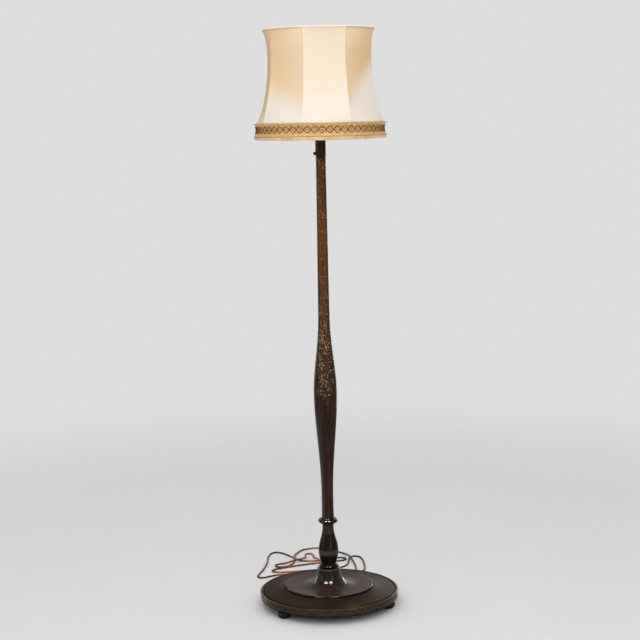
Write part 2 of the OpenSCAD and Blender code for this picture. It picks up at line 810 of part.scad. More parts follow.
module bottom_wire() {
    color("#b8b2a2") wire_ring(gallery_ring_r, gallery_z + wire_d, wire_r);
}

module gallery_struts() {
    color("#b8b2a2") for (i = [0 : panels - 1]) at_strut(i)
        translate([gallery_ring_r, 0, gallery_z + wire_d + wire_r + 0.2])
            cylinder(d = wire_d - 0.4, h = gallery_h - 2 * wire_d - 0.4, $fn = 24);
}

module shade_spider() {
    run = gallery_ring_r - wire_r - 0.2 - fitter_r + 2;
    slope = atan(arm_drop / run);
    color("#b8b2a2") {
        ring(holder_r + run_gap, fitter_r, fitter_z, fitter_t);
        for (i = [0 : arms - 1]) rotate(strut_turn + panel_turn + 360 / arms * i)
            translate([fitter_r - 2, 0, fitter_z + fitter_t / 2]) rotate([0, 90 + slope, 0])
                cylinder(d = fitter_t, h = run / cos(slope) - 0.5, $fn = 24);
    }
}

module top_piping() {
    color("#d9b88c") wire_ring(bell_top_r - piping_r / 2, cover_top_z + piping_r + 0.05, piping_r);
}

// Outline of the gallery's outer skin: a rim, a hollow and a rim
function gallery_at(s) = gallery_r - gallery_cove * pow(max(0, sin(180 * s)), 0.8);
gallery_steps = 12;
module gallery_band() {
    outline = concat(
        [[bell_foot_r + 0.6, gallery_h - band_t], [bell_foot_r + 0.6, gallery_h]],
        [for (i = [gallery_steps : -1 : 0]) [gallery_at(i / gallery_steps), gallery_h * i / gallery_steps]],
        [[bell_foot_r - 3, 0], [bell_foot_r - 3, band_t]],
        [for (i = [1 : gallery_steps - 1])
            [gallery_at(i / gallery_steps) - band_t, gallery_h * i / gallery_steps]]
    );
    color("#c9a55c") turned(outline, gallery_z);
}

module gallery_lining() {
    color("#e9bd93") ring(gallery_ring_r - wire_r - 1, gallery_ring_r - wire_r - 0.3,
                          gallery_z + 0.5, gallery_h - wire_r - 2.5);
}

module hem_roll() {
    color("#e2b48c") wire_ring(gallery_r - hem_d / 2 - 1, gallery_z - hem_d / 2 - 0.05, hem_d / 2);
}

// ---------------------------------------------------------------- cord and plug

module cord_bush() {
    color("#1a1715") translate([0, 0, lead_z]) rotate([-90, 0, 0]) {
        tube(lead_hole_d - 2 * fit_gap, cord_d + 2 * fit_gap, plate_r - bush_len, bush_len + 1);
        tube(lead_hole_d + 4, cord_d + 2 * fit_gap, plate_r + 0.1, bush_flange_t);
    }
}

module strain_relief() {
    color("#171513") translate([0, 0, lead_z]) rotate([-90, 0, 0]) difference() {
        translate([0, 0, plate_r + bush_flange_t + 0.2])
            cylinder(r1 = cord_d / 2 + 3, r2 = cord_d / 2 + 0.9, h = relief_len - bush_flange_t + 0.8);
        translate([0, 0, plate_r]) cylinder(d = cord_d + 0.2, h = relief_len + 5, $fn = 32);
    }
}

cord_line = smooth(route, cord_steps);
cord_last = len(cord_line) - 1;
function unit(v) = v / norm(v);
function cord_dir(i) = (i == 0) ? [0, 1, 0] : (i == cord_last) ? [1, 0, 0]
    : unit(cord_line[i + 1] - cord_line[i - 1]);

// One ring of the cord's tube, square to the cord
function cord_ring(i) =
    let (d = cord_dir(i), side = unit(cross([0, 0, 1], d)), up = cross(d, side))
    [for (k = [0 : cord_sides - 1]) let (a = 360 * (k + 0.5) / cord_sides)
        cord_line[i] + cord_d / 2 * (cos(a) * side + sin(a) * up)];

function length_of(p) = [for (i = 0, s = 0; i < len(p) - 1; s = s + norm(p[i + 1] - p[i]), i = i + 1) s
    + norm(p[i + 1] - p[i])][len(p) - 2];
cord_length = length_of(cord_line);

// Least gap between stretches of the cord that are more than 4 rings apart along it
function cord_gap() = min([for (i = [0 : cord_last]) for (j = [i + 1 : cord_last])
    let (near = norm(cord_line[i] - cord_line[j]))
    (j - i) > 4 ? near - cord_d : cord_length]);

module cord_run() {
    echo(cord_length = cord_length, cord_gap = cord_gap());
    points = [for (i = [0 : cord_last]) each cord_ring(i)];
    faces = concat(
        [[for (k = [0 : cord_sides - 1]) k]],
        [for (i = [0 : cord_last - 1]) for (k = [0 : cord_sides - 1]) for (half = [0, 1])
            let (a = i * cord_sides + k, b = i * cord_sides + (k + 1) % cord_sides)
            half == 0 ? [a, a + cord_sides, b + cord_sides] : [a, b + cord_sides, b]],
        [[for (k = [cord_sides - 1 : -1 : 0]) cord_last * cord_sides + k]]
    );
    color("#6a3226") polyhedron(points, faces, convexity = 10);
}

module plug_body() {
    color("#181614") translate(plug_at) difference() {
        union() {
            hull() for (y = [-1, 1]) {
                translate([2, y * (plug_w / 2 - 8), 0])
                    cylinder(r = 4, h = plug_t - 4, center = true, $fn = 24);
                translate([plug_len - 5, y * (plug_w / 2 - 5), 0])
                    cylinder(r = 5, h = plug_t, center = true, $fn = 32);
            }
            translate([-plug_tail, 0, 0]) rotate([0, 90, 0])
                cylinder(r1 = cord_d / 2 + 0.8, r2 = cord_d / 2 + 2.4, h = plug_tail + 1, $fn = 32);
        }
        for (side = [-1, 1]) translate([plug_len - pin_root - 0.5, side * pin_gap / 2, 0])
            rotate([0, 90, 0]) cylinder(d = pin_d - 1 + 2 * fit_gap, h = pin_root + 2, $fn = 32);
    }
}

module plug_pins() {
    color("#c8c6bc") translate(plug_at) for (side = [-1, 1])
        translate([plug_len, side * pin_gap / 2, 0]) rotate([0, 90, 0]) {
            cylinder(d = pin_d, h = pin_len, $fn = 32);
            translate([0, 0, -pin_root]) cylinder(d = pin_d - 1, h = pin_root + 1, $fn = 32);
        }
}

base_plate();
pedestal();
bun_foot(0);  // bun_foot_rear
bun_foot(1);  // bun_foot_left
bun_foot(2);  // bun_foot_right
foot_screw(0);  // foot_screw_rear
foot_screw(1);  // foot_screw_left
foot_screw(2);  // foot_screw_right
chamber_cover();
cover_screws();
tie_tube();
tie_washer();
tie_nut();
vase();
collar_ring();
shaft();
pole_nipple();
switch_housing();
housing_nut();
housing_cap();
top_nipple();
switch_body();
switch_nut();
switch_spindle();
switch_knob();
inner_lead();
holder_wires();
holder_cup();
holder_barrel();
holder_insert();
screw_shell();
centre_contact();
shade_ring_nut();
bulb_cap();
bulb_glass();
bulb_filament();
shade_spider();
top_wire();
gallery_wire();
bottom_wire();
shade_struts();
gallery_struts();
shade_cover();
shade_lining();
top_piping();
gallery_band();
gallery_lining();
hem_roll();
cord_bush();
strain_relief();
cord_run();
plug_body();
plug_pins();
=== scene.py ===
import json
import math

import bmesh
import bpy
from bpy.props import FloatProperty, FloatVectorProperty, IntProperty, PointerProperty
from bpy.types import Operator, Panel, PropertyGroup
from mathutils import Matrix, Vector, noise


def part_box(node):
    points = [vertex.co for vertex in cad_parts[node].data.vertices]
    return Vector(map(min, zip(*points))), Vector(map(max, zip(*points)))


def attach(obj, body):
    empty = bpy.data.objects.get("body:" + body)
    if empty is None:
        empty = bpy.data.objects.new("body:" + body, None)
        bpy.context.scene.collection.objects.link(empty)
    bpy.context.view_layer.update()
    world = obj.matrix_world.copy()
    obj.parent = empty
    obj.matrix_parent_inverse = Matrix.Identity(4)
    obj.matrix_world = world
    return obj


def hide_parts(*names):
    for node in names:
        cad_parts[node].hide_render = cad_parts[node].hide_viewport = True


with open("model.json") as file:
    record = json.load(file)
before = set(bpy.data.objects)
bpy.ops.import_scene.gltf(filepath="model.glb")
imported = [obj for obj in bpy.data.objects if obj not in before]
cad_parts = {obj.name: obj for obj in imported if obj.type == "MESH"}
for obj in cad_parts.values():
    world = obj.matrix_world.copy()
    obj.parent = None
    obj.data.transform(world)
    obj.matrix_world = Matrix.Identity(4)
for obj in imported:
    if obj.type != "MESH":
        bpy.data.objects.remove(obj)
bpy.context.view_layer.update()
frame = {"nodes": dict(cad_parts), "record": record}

bl_info = {
    "name": "Candlestick floor lamp",
    "version": (1, 0, 0),
    "blender": (4, 5, 0),
    "location": "View3D > Sidebar > Floor Lamp",
    "description": "Dresses a turned wooden floor lamp with a panelled bell shade",
    "category": "Object",
}

MM = 0.001
NODES = frame["nodes"]
STAND = "stand"
SHADE = "shade"


# ------------------------------------------------------------------ places taken from the frame

def top(node):
    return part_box(node)[1].z


def bottom(node):
    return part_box(node)[0].z


def radius(node):
    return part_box(node)[1].x


def middle(node):
    low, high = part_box(node)
    return (low + high) / 2


PLATE_R = radius("base_plate")
PLATE_Z = bottom("base_plate")
DISC_R = radius("pedestal")
DISC_Z = bottom("pedestal")
VASE_Z = bottom("vase")
COLLAR_Z = bottom("collar_ring")
SHAFT_Z = bottom("shaft")
SHAFT_TOP = top("shaft")
HOUSING_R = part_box("switch_housing")[1].y
SHADE_Z = middle("gallery_wire").z
COVER_TOP = top("shade_cover")
COVER_H = COVER_TOP - SHADE_Z
GALLERY_R = radius("gallery_band")
GALLERY_Z = bottom("gallery_band")
GALLERY_TOP = top("gallery_band")
LEAD_Z = middle("strain_relief").z


# ------------------------------------------------------------------ sizes and colours

def tint(code, alpha=1.0):
    """A linear colour from the six-digit code that a painter would note down."""
    parts = [int(code[i:i + 2], 16) / 255 for i in (0, 2, 4)]
    linear = [p / 12.92 if p <= 0.04045 else ((p + 0.055) / 1.055) ** 2.4 for p in parts]
    return (*linear, alpha)


def length(name, description, default, low=0.0):
    return FloatProperty(name=name, description=description, default=default, min=low,
                         unit="LENGTH", subtype="DISTANCE", precision=4)


def share(name, description, default):
    return FloatProperty(name=name, description=description, default=default, min=0.0, max=1.0,
                         subtype="FACTOR")


def level(name, description, default):
    return FloatProperty(name=name, description=description, default=default, min=0.0)


def colour(name, description, code):
    return FloatVectorProperty(name=name, description=description, default=tint(code), size=4,
                               min=0.0, max=1.0, subtype="COLOR")


class ShadeSizes(PropertyGroup):
    panels: IntProperty(name="Panels", description="Number of panels and struts", default=8, min=3)
    strut_turn: FloatProperty(name="First strut", description="Direction of the first strut",
                              default=math.radians(-16.4), subtype="ANGLE")
    waist_share: share("Waist", "Height of the waist as a share of the bell", 0.665)
    foot_radius: length("Foot radius", "Bell radius where it meets the gallery", 0.169)
    waist_radius: length("Waist radius", "Bell radius over the struts at the waist", 0.1415)
    top_radius: length("Top radius", "Bell radius at its top edge", 0.147)
    cloth: length("Cloth", "Thickness of the outer cloth", 0.0008)
    gallery_cove: length("Gallery hollow", "Depth of the gallery's hollow", 0.0075)
    eyes: IntProperty(name="Eyes", description="Eyes of the interlaced braid", default=55, min=9)
    hem_droop: length("Hem droop", "How far the hem hangs lower at the front", 0.0030)


class LeadSizes(PropertyGroup):
    diameter: length("Diameter", "Diameter of the mains lead", 0.005)
    reach: length("Length", "Length of the mains lead outside the foot", 2.633)


class LampColours(PropertyGroup):
    walnut: colour("Walnut", "Upper part of the column", "653c1c")
    walnut_dark: colour("Dark walnut", "Lower part of the column", "33241d")
    foot_wood: colour("Foot", "Lacquer of the round foot", "33251b")
    disc: colour("Disc", "Lacquer of the raised disc", "3b2a23")
    wear: colour("Wear", "Bare wood where the lacquer has gone", "dcc394")
    ebony: colour("Ebony", "Blackened rings and feet", "0e0a08")
    # cream is the satin where most light falls, tan paints the satin in shade on the side panels,
    # and pale is a painted highlight at the bell's foot
    cream: colour("Cream", "Satin that has kept its tone", "f0e1cb")
    tan: colour("Tan", "Satin that time has toned", "e4bf90")
    blush: colour("Blush", "Satin near the top edge", "fad6ae")
    pale: colour("Pale", "Satin at the foot of the bell", "ece3d8")
    lining: colour("Lining", "Lining of the shade", "e6b48a")
    gold: colour("Gold", "Ground of the gallery braid", "dfb76c")
    russet: colour("Russet", "Interlaced strands of the braid", "784018")
    lead: colour("Lead", "Sheath of the mains lead", "4d2d26")


class StageSettings(PropertyGroup):
    backdrop: share("Backdrop", "Tone of the pale background", 0.725)
    room: level("Room light", "Strength of the even light all round", 0.59)
    floor: share("Floor", "Tone of the floor", 0.82)
    lamp_glow: level("Lamp glow", "Brightness of the two round lamps", 1.3)
    lamp_glint: level("Lamp glint", "Further brightness seen in gloss only", 150.0)
    front: level("Front light", "Brightness of the broad light in front", 3.0)
    above: level("Light above", "Brightness of the broad light above", 0.60)
    sheen: level("Sheen", "Brightness of the lamp behind, seen in gloss only", 1.6)
    strip: level("Strip lights", "Brightness of the tall strips seen in gloss", 24.0)


# ------------------------------------------------------------------ curves

def heading(before, here, after):
    """Direction of a smooth curve at a point, between its neighbours."""
    u, v = (here - before).length, (after - here).length
    return ((here - before) / u * v + (after - here) / v * u) / (u + v)


def on_curve(a, b, c, d, t):
    """Point at share t of the smooth curve between b and c, with neighbours a and d."""
    span = (c - b).length
    leave = (c - b) / span if a == b else heading(a, b, c)
    reach = (c - b) / span if c == d else heading(b, c, d)
    return ((2 * t ** 3 - 3 * t ** 2 + 1) * b + (t ** 3 - 2 * t ** 2 + t) * span * leave
            + (3 * t ** 2 - 2 * t ** 3) * c + (t ** 3 - t ** 2) * span * reach)


def smooth(points, steps=8):
    """A smooth curve through the points, with so many steps between each two."""
    points = [Vector(p) for p in points]
    last = len(points) - 1
    line = [on_curve(points[max(i - 1, 0)], points[i], points[i + 1], points[min(i + 2, last)],
                     k / steps)
            for i in range(last) for k in range(steps)]
    return line + [points[-1]]


def arc(centre, r, start, end, steps=8):
    """An arc about a centre, from one angle in degrees to another."""
    angles = [math.radians(start + (end - start) * i / steps) for i in range(steps + 1)]
    return [Vector((centre[0] + r * math.cos(a), centre[1] + r * math.sin(a))) for a in angles]


def ease(t):
    """Slow at both ends between 0 and 1."""
    return t * t * (3 - 2 * t)


def rise(t, low, high):
    """Eases from 0 to 1 as t goes from low to high."""
    return ease(min(1.0, max(0.0, (t - low) / (high - low))))


# ------------------------------------------------------------------ making pieces

def finish_piece(name, bm, material, body, hides=(), crease=32):
    """Turns a bmesh into a smooth-shaded piece that rides on a body."""
    mesh = bpy.data.meshes.new(name)
    bm.to_mesh(mesh)
    bm.free()
    mesh.polygons.foreach_set("use_smooth", [True] * len(mesh.polygons))
    mesh.set_sharp_from_angle(angle=math.radians(crease))
    piece = bpy.data.objects.new(name, mesh)
    bpy.context.scene.collection.objects.link(piece)
    return dress(piece, material, body, hides)


def dress(piece, material, body, hides=()):
    """Gives a piece its finish, its body and the construction nodes that it hides."""
    piece.data.materials.append(material)
    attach(piece, body)
    if hides:
        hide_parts(*hides)
    return piece


def spun(outline, steps=128, axis=(0, 0, 1), closed=True):
    """A bmesh of an outline of (radius, height) in metres, spun about an axis."""
    axis = Vector(axis)
    out = axis.orthogonal().normalized()
    bm = bmesh.new()
    verts = [bm.verts.new(out * p[0] + axis * p[1]) for p in outline]
    edges = [bm.edges.new(pair) for pair in zip(verts, verts[1:])]
    if closed:
        edges.append(bm.edges.new((verts[-1], verts[0])))
    bmesh.ops.spin(bm, geom=verts + edges, cent=(0, 0, 0), axis=axis, angle=math.tau, steps=steps,
                   use_merge=True, use_duplicate=False)
    bmesh.ops.remove_doubles(bm, verts=bm.verts, dist=1e-6)
    bmesh.ops.recalc_face_normals(bm, faces=bm.faces)
    return bm


def in_mm(outline, base=0.0):
    """An outline drawn in millimetres, in metres and raised to its base."""
    return [(p[0] * MM, base + p[1] * MM) for p in outline]


def turned(name, outline, base, material, hides=(), body=STAND, steps=160, crease=32):
    """A turned piece of the column, from its outline in millimetres above its base."""
    bm = spun(in_mm(outline, base), steps)
    return finish_piece(name, bm, material, body, hides, crease)


def twisted_ring(ring, centre, thick, steps, turns, depth, sides=12):
    """A closed round cord of the given thickness, its surface twisted in slanting folds."""
    bm = spun([(ring + thick * math.cos(math.tau * i / sides),
                centre + thick * math.sin(math.tau * i / sides)) for i in range(sides)], steps)
    for vert in bm.verts:
        angle = math.atan2(vert.co.y, vert.co.x)
        out = Vector((math.cos(angle), math.sin(angle), 0))
        arm = vert.co - out * ring - Vector((0, 0, centre))
        slant = math.atan2(arm.z, arm.dot(out))
        vert.co += arm * depth * math.sin(angle * turns + slant * 2)
    return bm


def bead_ring(bm, place, size, squash=0.6, normal=(0, 0, 1)):
    """A small low bead, as of a thread knot, added to a bmesh."""
    turn = Vector(normal).to_track_quat("Z", "Y").to_matrix().to_4x4()
    shape = Matrix.Translation(place) @ turn @ Matrix.Diagonal((size, size, size * squash, 1))
    bmesh.ops.create_icosphere(bm, subdivisions=1, radius=1, matrix=shape)


def wrap_uv(mesh, around):
    """A UV map in metres: along the ring at the given radius, and up the piece."""
    layer = mesh.uv_layers.new(name="ring")
    for face in mesh.polygons:
        angles = []
        for index in face.vertices:
            p = mesh.vertices[index].co
            angles.append(math.atan2(p.y, p.x))
        if max(angles) - min(angles) > math.pi:
            angles = [a + math.tau if a < 0 else a for a in angles]
        for loop, angle in zip(face.loop_indices, angles):
            height = mesh.vertices[mesh.loops[loop].vertex_index].co.z
            layer.data[loop].uv = (angle * around, height)


def join_in(bm, other):
    """Adds a second bmesh to the first one, and frees it."""
    mesh = bpy.data.meshes.new("joined")
    other.to_mesh(mesh)
    other.free()
    bm.from_mesh(mesh)
    bpy.data.meshes.remove(mesh)


def tube_curve(name, points, thick, material, body, sides=3, closed=False):
    """A round thread or lead along its points, as one open or closed spline."""
    curve = bpy.data.curves.new(name, "CURVE")
    curve.dimensions = "3D"
    curve.bevel_depth = thick / 2
    curve.bevel_resolution = sides
    curve.use_fill_caps = True
    spline = curve.splines.new("POLY")
    spline.points.add(len(points) - 1)
    for point, place in zip(spline.points, points):
        point.co = (*place, 1.0)
    spline.use_cyclic_u = closed
    spline.use_smooth = True
    piece = bpy.data.objects.new(name, curve)
    bpy.context.scene.collection.objects.link(piece)
    return dress(piece, material, body)


# ------------------------------------------------------------------ finishes

class Finish:
    """A procedural finish, built up on one shader whose plain values are set on its own sockets."""

    def __init__(self, name, surface):
        self.material = bpy.data.materials.new(name)
        self.material.use_nodes = True
        self.tree = self.material.node_tree
        self.shader = self.tree.nodes["Principled BSDF"]
        self.place = self.node("TexCoord").outputs["Object"]
        self.normal = None
        for socket, value in surface.items():
            self.shader.inputs[socket].default_value = value

    def node(self, kind, values=None, **settings):
        new = self.tree.nodes.new("ShaderNode" + kind)
        for key, value in settings.items():
            setattr(new, key, value)
        for key, value in (values or {}).items():
            self.feed(new.inputs[key], value)
        return new

    def feed(self, socket, value):
        if isinstance(value, bpy.types.NodeSocket):
            self.tree.links.new(value, socket)
        else:
            socket.default_value = value

    def use(self, socket, value):
        self.feed(self.shader.inputs[socket], value)

    def rough(self, value, low, high):
        """Roughness between two limits, as a noise goes."""
        self.use("Roughness", self.span(value, 0.3, 0.7, low, high))

    def ring_uv(self):
        return self.node("UVMap", uv_map="ring").outputs["UV"]

    def mapped(self, scale=(1, 1, 1), turn=(0, 0, 0), source=None):
        values = {"Vector": source or self.place, "Scale": scale, "Rotation": turn}
        return self.node("Mapping", values).outputs["Vector"]

    def noise(self, scale, detail=4.0, rough=0.55, vector=None, warp=0.0):
        values = {"Vector": vector or self.place, "Scale": scale, "Detail": detail,
                  "Roughness": rough, "Distortion": warp}
        return self.node("TexNoise", values).outputs[0]

    def axis(self, which, source=None):
        return self.node("SeparateXYZ", {"Vector": source or self.place}).outputs[which]

    def out(self):
        """Distance from the lamp's axis."""
        flat = self.node("VectorMath", {0: self.place, 1: (1, 1, 0)}, operation="MULTIPLY")
        return self.node("VectorMath", {0: flat.outputs[0]}, operation="LENGTH").outputs["Value"]

    def side(self):
        """0 where the piece faces front or back, 1 where it faces sideways."""
        return self.math("DIVIDE", self.math("ABSOLUTE", self.axis("X")), self.out())

    def math(self, operation, a, b=0.0):
        return self.node("Math", {0: a, 1: b}, operation=operation).outputs[0]

    def times(self, *shares):
        product = shares[0]
        for other in shares[1:]:
            product = self.math("MULTIPLY", product, other)
        return product

    def span(self, value, low, high, to_low=0.0, to_high=1.0):
        values = {"Value": value, "From Min": low, "From Max": high, "To Min": to_low,
                  "To Max": to_high}
        return self.node("MapRange", values, interpolation_type="SMOOTHSTEP").outputs["Result"]

    def between(self, value, low, high, soft, most=1.0):
        """A share that is fullest between low and high and runs out softly at both."""
        return self.times(self.span(value, low, low + soft),
                          self.span(value, high - soft, high, most, 0.0))

    def flecks(self, scale, crowd, solid, edge, vector=None):
        """Spots in some of many small cells: crowd is the share of cells that hold one."""
        values = {"Vector": vector or self.place, "Scale": scale}
        cell = self.node("TexVoronoi", values, feature="F1")
        chosen = self.node("SeparateColor", {"Color": cell.outputs["Color"]}).outputs["Red"]
        return self.times(self.math("LESS_THAN", chosen, crowd),
                          self.span(cell.outputs["Distance"], solid, edge, 1.0, 0.0))

    def ramp(self, value, stops):
        """A colour ramp through (position, colour) stops."""
        new = self.node("ValToRGB", {"Fac": value})
        elements = new.color_ramp.elements
        while len(elements) < len(stops):
            elements.new(1.0)
        for element, (position, tone) in zip(elements, stops):
            element.position = position
            element.color = tone
        return new.outputs["Color"]

    def mix(self, share_of_b, a, b, blend="MIX"):
        new = self.node("Mix", {0: share_of_b, 6: a, 7: b}, data_type="RGBA", blend_type=blend)
        return new.outputs[2]

    def bump(self, height, distance, strength):
        """Adds relief on top of any relief that the finish has."""
        values = {"Height": height, "Distance": distance, "Strength": strength}
        if self.normal is not None:
            values["Normal"] = self.normal
        self.normal = self.node("Bump", values).outputs["Normal"]
        self.use("Normal", self.normal)


def darker(tone, by):
    """The tone times a share, which may also be above 1."""
    return (tone[0] * by, tone[1] * by, tone[2] * by, 1.0)


def column_wood(name, tones):
    """Stained walnut with long grain, golden brown above and dark below, worn in specks, with
    painted shade towards its left and right sides.
    """
    fin = Finish(name, {"Specular IOR Level": 0.05, "Coat Roughness": 0.2})
    height, side = fin.axis("Z"), fin.side()
    grain = fin.noise(150, 6, 0.6, fin.mapped((1, 1, 0.035)))
    figure = fin.noise(30, 3, 0.5, fin.mapped((1, 1, 0.10)), 0.6)
    red = fin.ramp(grain, [(0.3, darker(tones.walnut, 0.40)), (0.52, tones.walnut),
                           (0.74, darker(tones.walnut, 1.6))])
    dark = fin.ramp(grain, [(0.3, darker(tones.walnut_dark, 0.45)), (0.55, tones.walnut_dark),
                            (0.8, darker(tones.walnut_dark, 1.6))])
    base = fin.mix(fin.span(height, 0.50, 1.08), dark, red)
    base = fin.mix(fin.span(figure, 0.42, 0.72, 0.0, 0.6), base, darker(tones.walnut_dark, 0.7))
    # the column is darkest right under the switch housing
    base = fin.mix(fin.span(height, SHAFT_TOP - 0.018, SHAFT_TOP - 0.004, 0.0, 0.8), base,
                   darker(tones.walnut_dark, 0.55))
    # bare wood shows in specks, thickest on the front and back of the swell
    swell = fin.times(fin.span(height, 0.55, 0.63), fin.span(height, 0.72, 0.88, 1.0, 0.16))
    patch = fin.span(fin.noise(60, 4, 0.6, fin.mapped((1, 1, 0.4))), 0.38, 0.58, 0.20, 1.0)
    crowd = fin.times(swell, fin.span(side, 0.55, 0.9, 1.0, 0.12), patch, 0.95)
    speck = fin.flecks(500, crowd, 0.18, 0.42, fin.mapped((1, 1, 0.36)))
    # painted shade: the column is darker towards its left and right sides
    base = fin.mix(fin.span(side, 0.45, 0.95, 0.0, 0.6), base, darker(tones.walnut_dark, 0.6))
    fin.use("Base Color", fin.mix(fin.times(speck, 0.80), base, tones.wear))
    # low on the left the polish is better kept
    left = fin.span(fin.math("DIVIDE", fin.axis("X"), fin.out()), -0.85, -0.2, 1.0, 0.0)
    polish = fin.times(left, fin.span(height, 0.42, 0.60, 1.0, 0.0))
    fin.use("Coat Weight", fin.span(polish, 0.0, 1.0, 0.0, 0.5))
    fin.use("Roughness", fin.span(grain, 0.3, 0.8, 0.16, 0.28))
    fin.bump(grain, 0.0003, 0.3)
    fin.bump(speck, 0.0004, 0.25)
    return fin.material


def vase_lacquer(name, tones):
    """Near-black stain under gloss, with a painted sheen in a band round the belly, and paler at
    the neck.
    """
    fin = Finish(name, {"Specular IOR Level": 0.06})
    height = fin.axis("Z")
    grain = fin.noise(110, 5, 0.6, fin.mapped((1, 1, 0.04)))
    base = fin.ramp(grain, [(0.3, tint("0f0b09")), (0.7, tint("241b16"))])
    # the band round the belly is a painted sheen, the pale room's reflection on the gloss; the neck
    # is paler too
    for low, high, tone in ((0.036, 0.056, "463c36"), (0.094, 0.130, "342e29")):
        band = fin.times(fin.span(height, VASE_Z + low, VASE_Z + low + 0.006, 0.0, 0.85),
                         fin.span(height, VASE_Z + high - 0.008, VASE_Z + high, 1.0, 0.0))
        base = fin.mix(band, base, tint(tone))
    # the bead at its foot is as black as the collar
    bead = fin.span(height, VASE_Z + 0.0093, VASE_Z + 0.0109, 1.0, 0.0)
    fin.use("Base Color", fin.mix(bead, base, tones.ebony))
    fin.use("Roughness", fin.span(grain, 0.3, 0.8, 0.06, 0.12))
    fin.bump(grain, 0.0003, 0.05)
    return fin.material


def foot_wood(name, tones, stain, gloss, relief):
    """The foot's dark lacquer: faint grain, painted shade in the turned lines and under the rim, a
    rubbed rim with a painted highlight on its bead, and nicks.
    """
    fin = Finish(name, {"Specular IOR Level": gloss, "Coat Roughness": 0.25})
    height, out = fin.axis("Z"), fin.out()
    grain = fin.noise(120, 6, 0.62, fin.mapped((0.06, 1, 1), turn=(0, 0, math.radians(24))))
    clouds = fin.noise(9, 4, 0.55)
    base = fin.ramp(grain, [(0.28, darker(stain, 0.6)), (0.55, stain), (0.82, darker(stain, 1.45))])
    base = fin.mix(fin.span(clouds, 0.4, 0.7, 0.0, 0.4), base, darker(stain, 0.55))
    base = fin.mix(fin.span(fin.noise(14, 3, 0.5), 0.52, 0.72, 0.0, 0.35), base, tint("3f2a20"))
    # the turned neck is darker than the flat of the foot, but for its rubbed upper edge
    neck = fin.span(height, DISC_Z + 0.006, DISC_Z + 0.014)
    base = fin.mix(fin.times(neck, 0.85), base, tint("28221b"))
    base = fin.mix(fin.span(height, VASE_Z - 0.0022, VASE_Z - 0.0012, 0.0, 0.3), base,
                   darker(tones.wear, 0.25))
    # painted shade in the rim's groove and round the disc's edge
    for low, high in ((PLATE_R - 0.0118, PLATE_R - 0.0072), (DISC_R - 0.0010, DISC_R + 0.0022)):
        base = fin.mix(fin.times(fin.between(out, low, high, 0.0006), 0.92), base,
                       darker(tones.ebony, 0.6))
    # the rim is rubbed dull and grey-brown
    rim = fin.span(out, PLATE_R - 0.0065, PLATE_R - 0.003)
    rubbed = fin.span(fin.noise(60, 5, 0.7, fin.mapped((1, 1, 3))), 0.35, 0.65, 0.1, 0.8)
    base = fin.mix(fin.times(rim, rubbed), base, tint("453e34"))
    # a lighter line along the rim's upper bead is a painted highlight
    bead = fin.between(out, PLATE_R - 0.0060, PLATE_R - 0.0018, 0.0012, 0.8)
    base = fin.mix(fin.times(bead, fin.span(height, DISC_Z - 0.012, DISC_Z - 0.010)), base,
                   tint("5c5046"))
    # the rim's lower edge is painted black, as painted shade under the plate
    base = fin.mix(fin.span(height, PLATE_Z + 0.0020, PLATE_Z + 0.0042, 0.95, 0.0), base,
                   darker(tones.ebony, 0.5))
    # bare wood on the rim's edge at the front right
    spot = fin.node("VectorMath", {0: fin.place, 1: (0.070, -0.172, PLATE_Z + 0.020)},
                    operation="DISTANCE").outputs["Value"]
    bare = fin.times(fin.span(spot, 0.006, 0.040, 0.8, 0.0),
                     fin.span(fin.noise(210, 5, 0.7), 0.52, 0.62),
                     fin.span(height, PLATE_Z + 0.012, PLATE_Z + 0.018))
    base = fin.mix(bare, base, tint("a8743f"))
    nick = fin.flecks(130, fin.span(out, PLATE_R - 0.03, PLATE_R - 0.004, 0.015, 0.12), 0.10, 0.16)
    fin.use("Base Color", fin.mix(fin.times(nick, 0.6), base, darker(tones.wear, 0.6)))
    # the disc's rounded edge and the neck have kept their gloss
    bright = fin.times(fin.span(out, DISC_R - 0.0026, DISC_R - 0.0014),
                       fin.span(out, DISC_R + 0.0004, DISC_R + 0.0010, 1.0, 0.0))
    dull = fin.math("ADD", fin.span(clouds, 0.3, 0.7, 0.20, 0.36), fin.times(rim, 0.12))
    fin.use("Roughness", fin.times(dull, fin.span(bright, 0.0, 1.0, 1.0, 0.4),
                                   fin.span(neck, 0.0, 1.0, 1.0, 0.2)))
    # at the sides the rim and the neck catch the pale room, and the plate's right keeps its polish
    shine = fin.times(fin.math("MAXIMUM", rim, neck), fin.span(fin.side(), 0.55, 1.0, 0.0, 0.36))
    kept = fin.span(fin.axis("X"), 0.04, 0.15, 0.0, 0.1)
    fin.use("Coat Weight", fin.math("MAXIMUM", shine, kept))
    fin.bump(grain, 0.0003, relief)
    fin.bump(nick, 0.0006, relief)
    return fin.material


def ebony_lacquer(name, tone):
    """Blackened wood under a gloss that has gone faintly uneven."""
    fin = Finish(name, {"Specular IOR Level": 0.18})
    wave = fin.noise(45, 3, 0.5)
    fin.use("Base Color", fin.ramp(wave, [(0.35, darker(tone, 0.7)), (0.7, darker(tone, 1.8))]))
    fin.rough(wave, 0.04, 0.08)
    fin.bump(wave, 0.0004, 0.12)
    return fin.material


def metal(name, code, rough, metallic=1.0):
    """Drawn or turned metal with a faint brushed grain and handling marks."""
    fin = Finish(name, {"Metallic": metallic})
    lines = fin.noise(420, 3, 0.6, fin.mapped((1, 1, 14)))
    marks = fin.noise(60, 5, 0.65)
    tone = tint(code)
    fin.use("Base Color", fin.ramp(marks, [(0.3, darker(tone, 0.72)), (0.65, tone)]))
    fin.rough(marks, rough, rough + 0.16)
    fin.bump(lines, 0.0001, 0.25)
    return fin.material


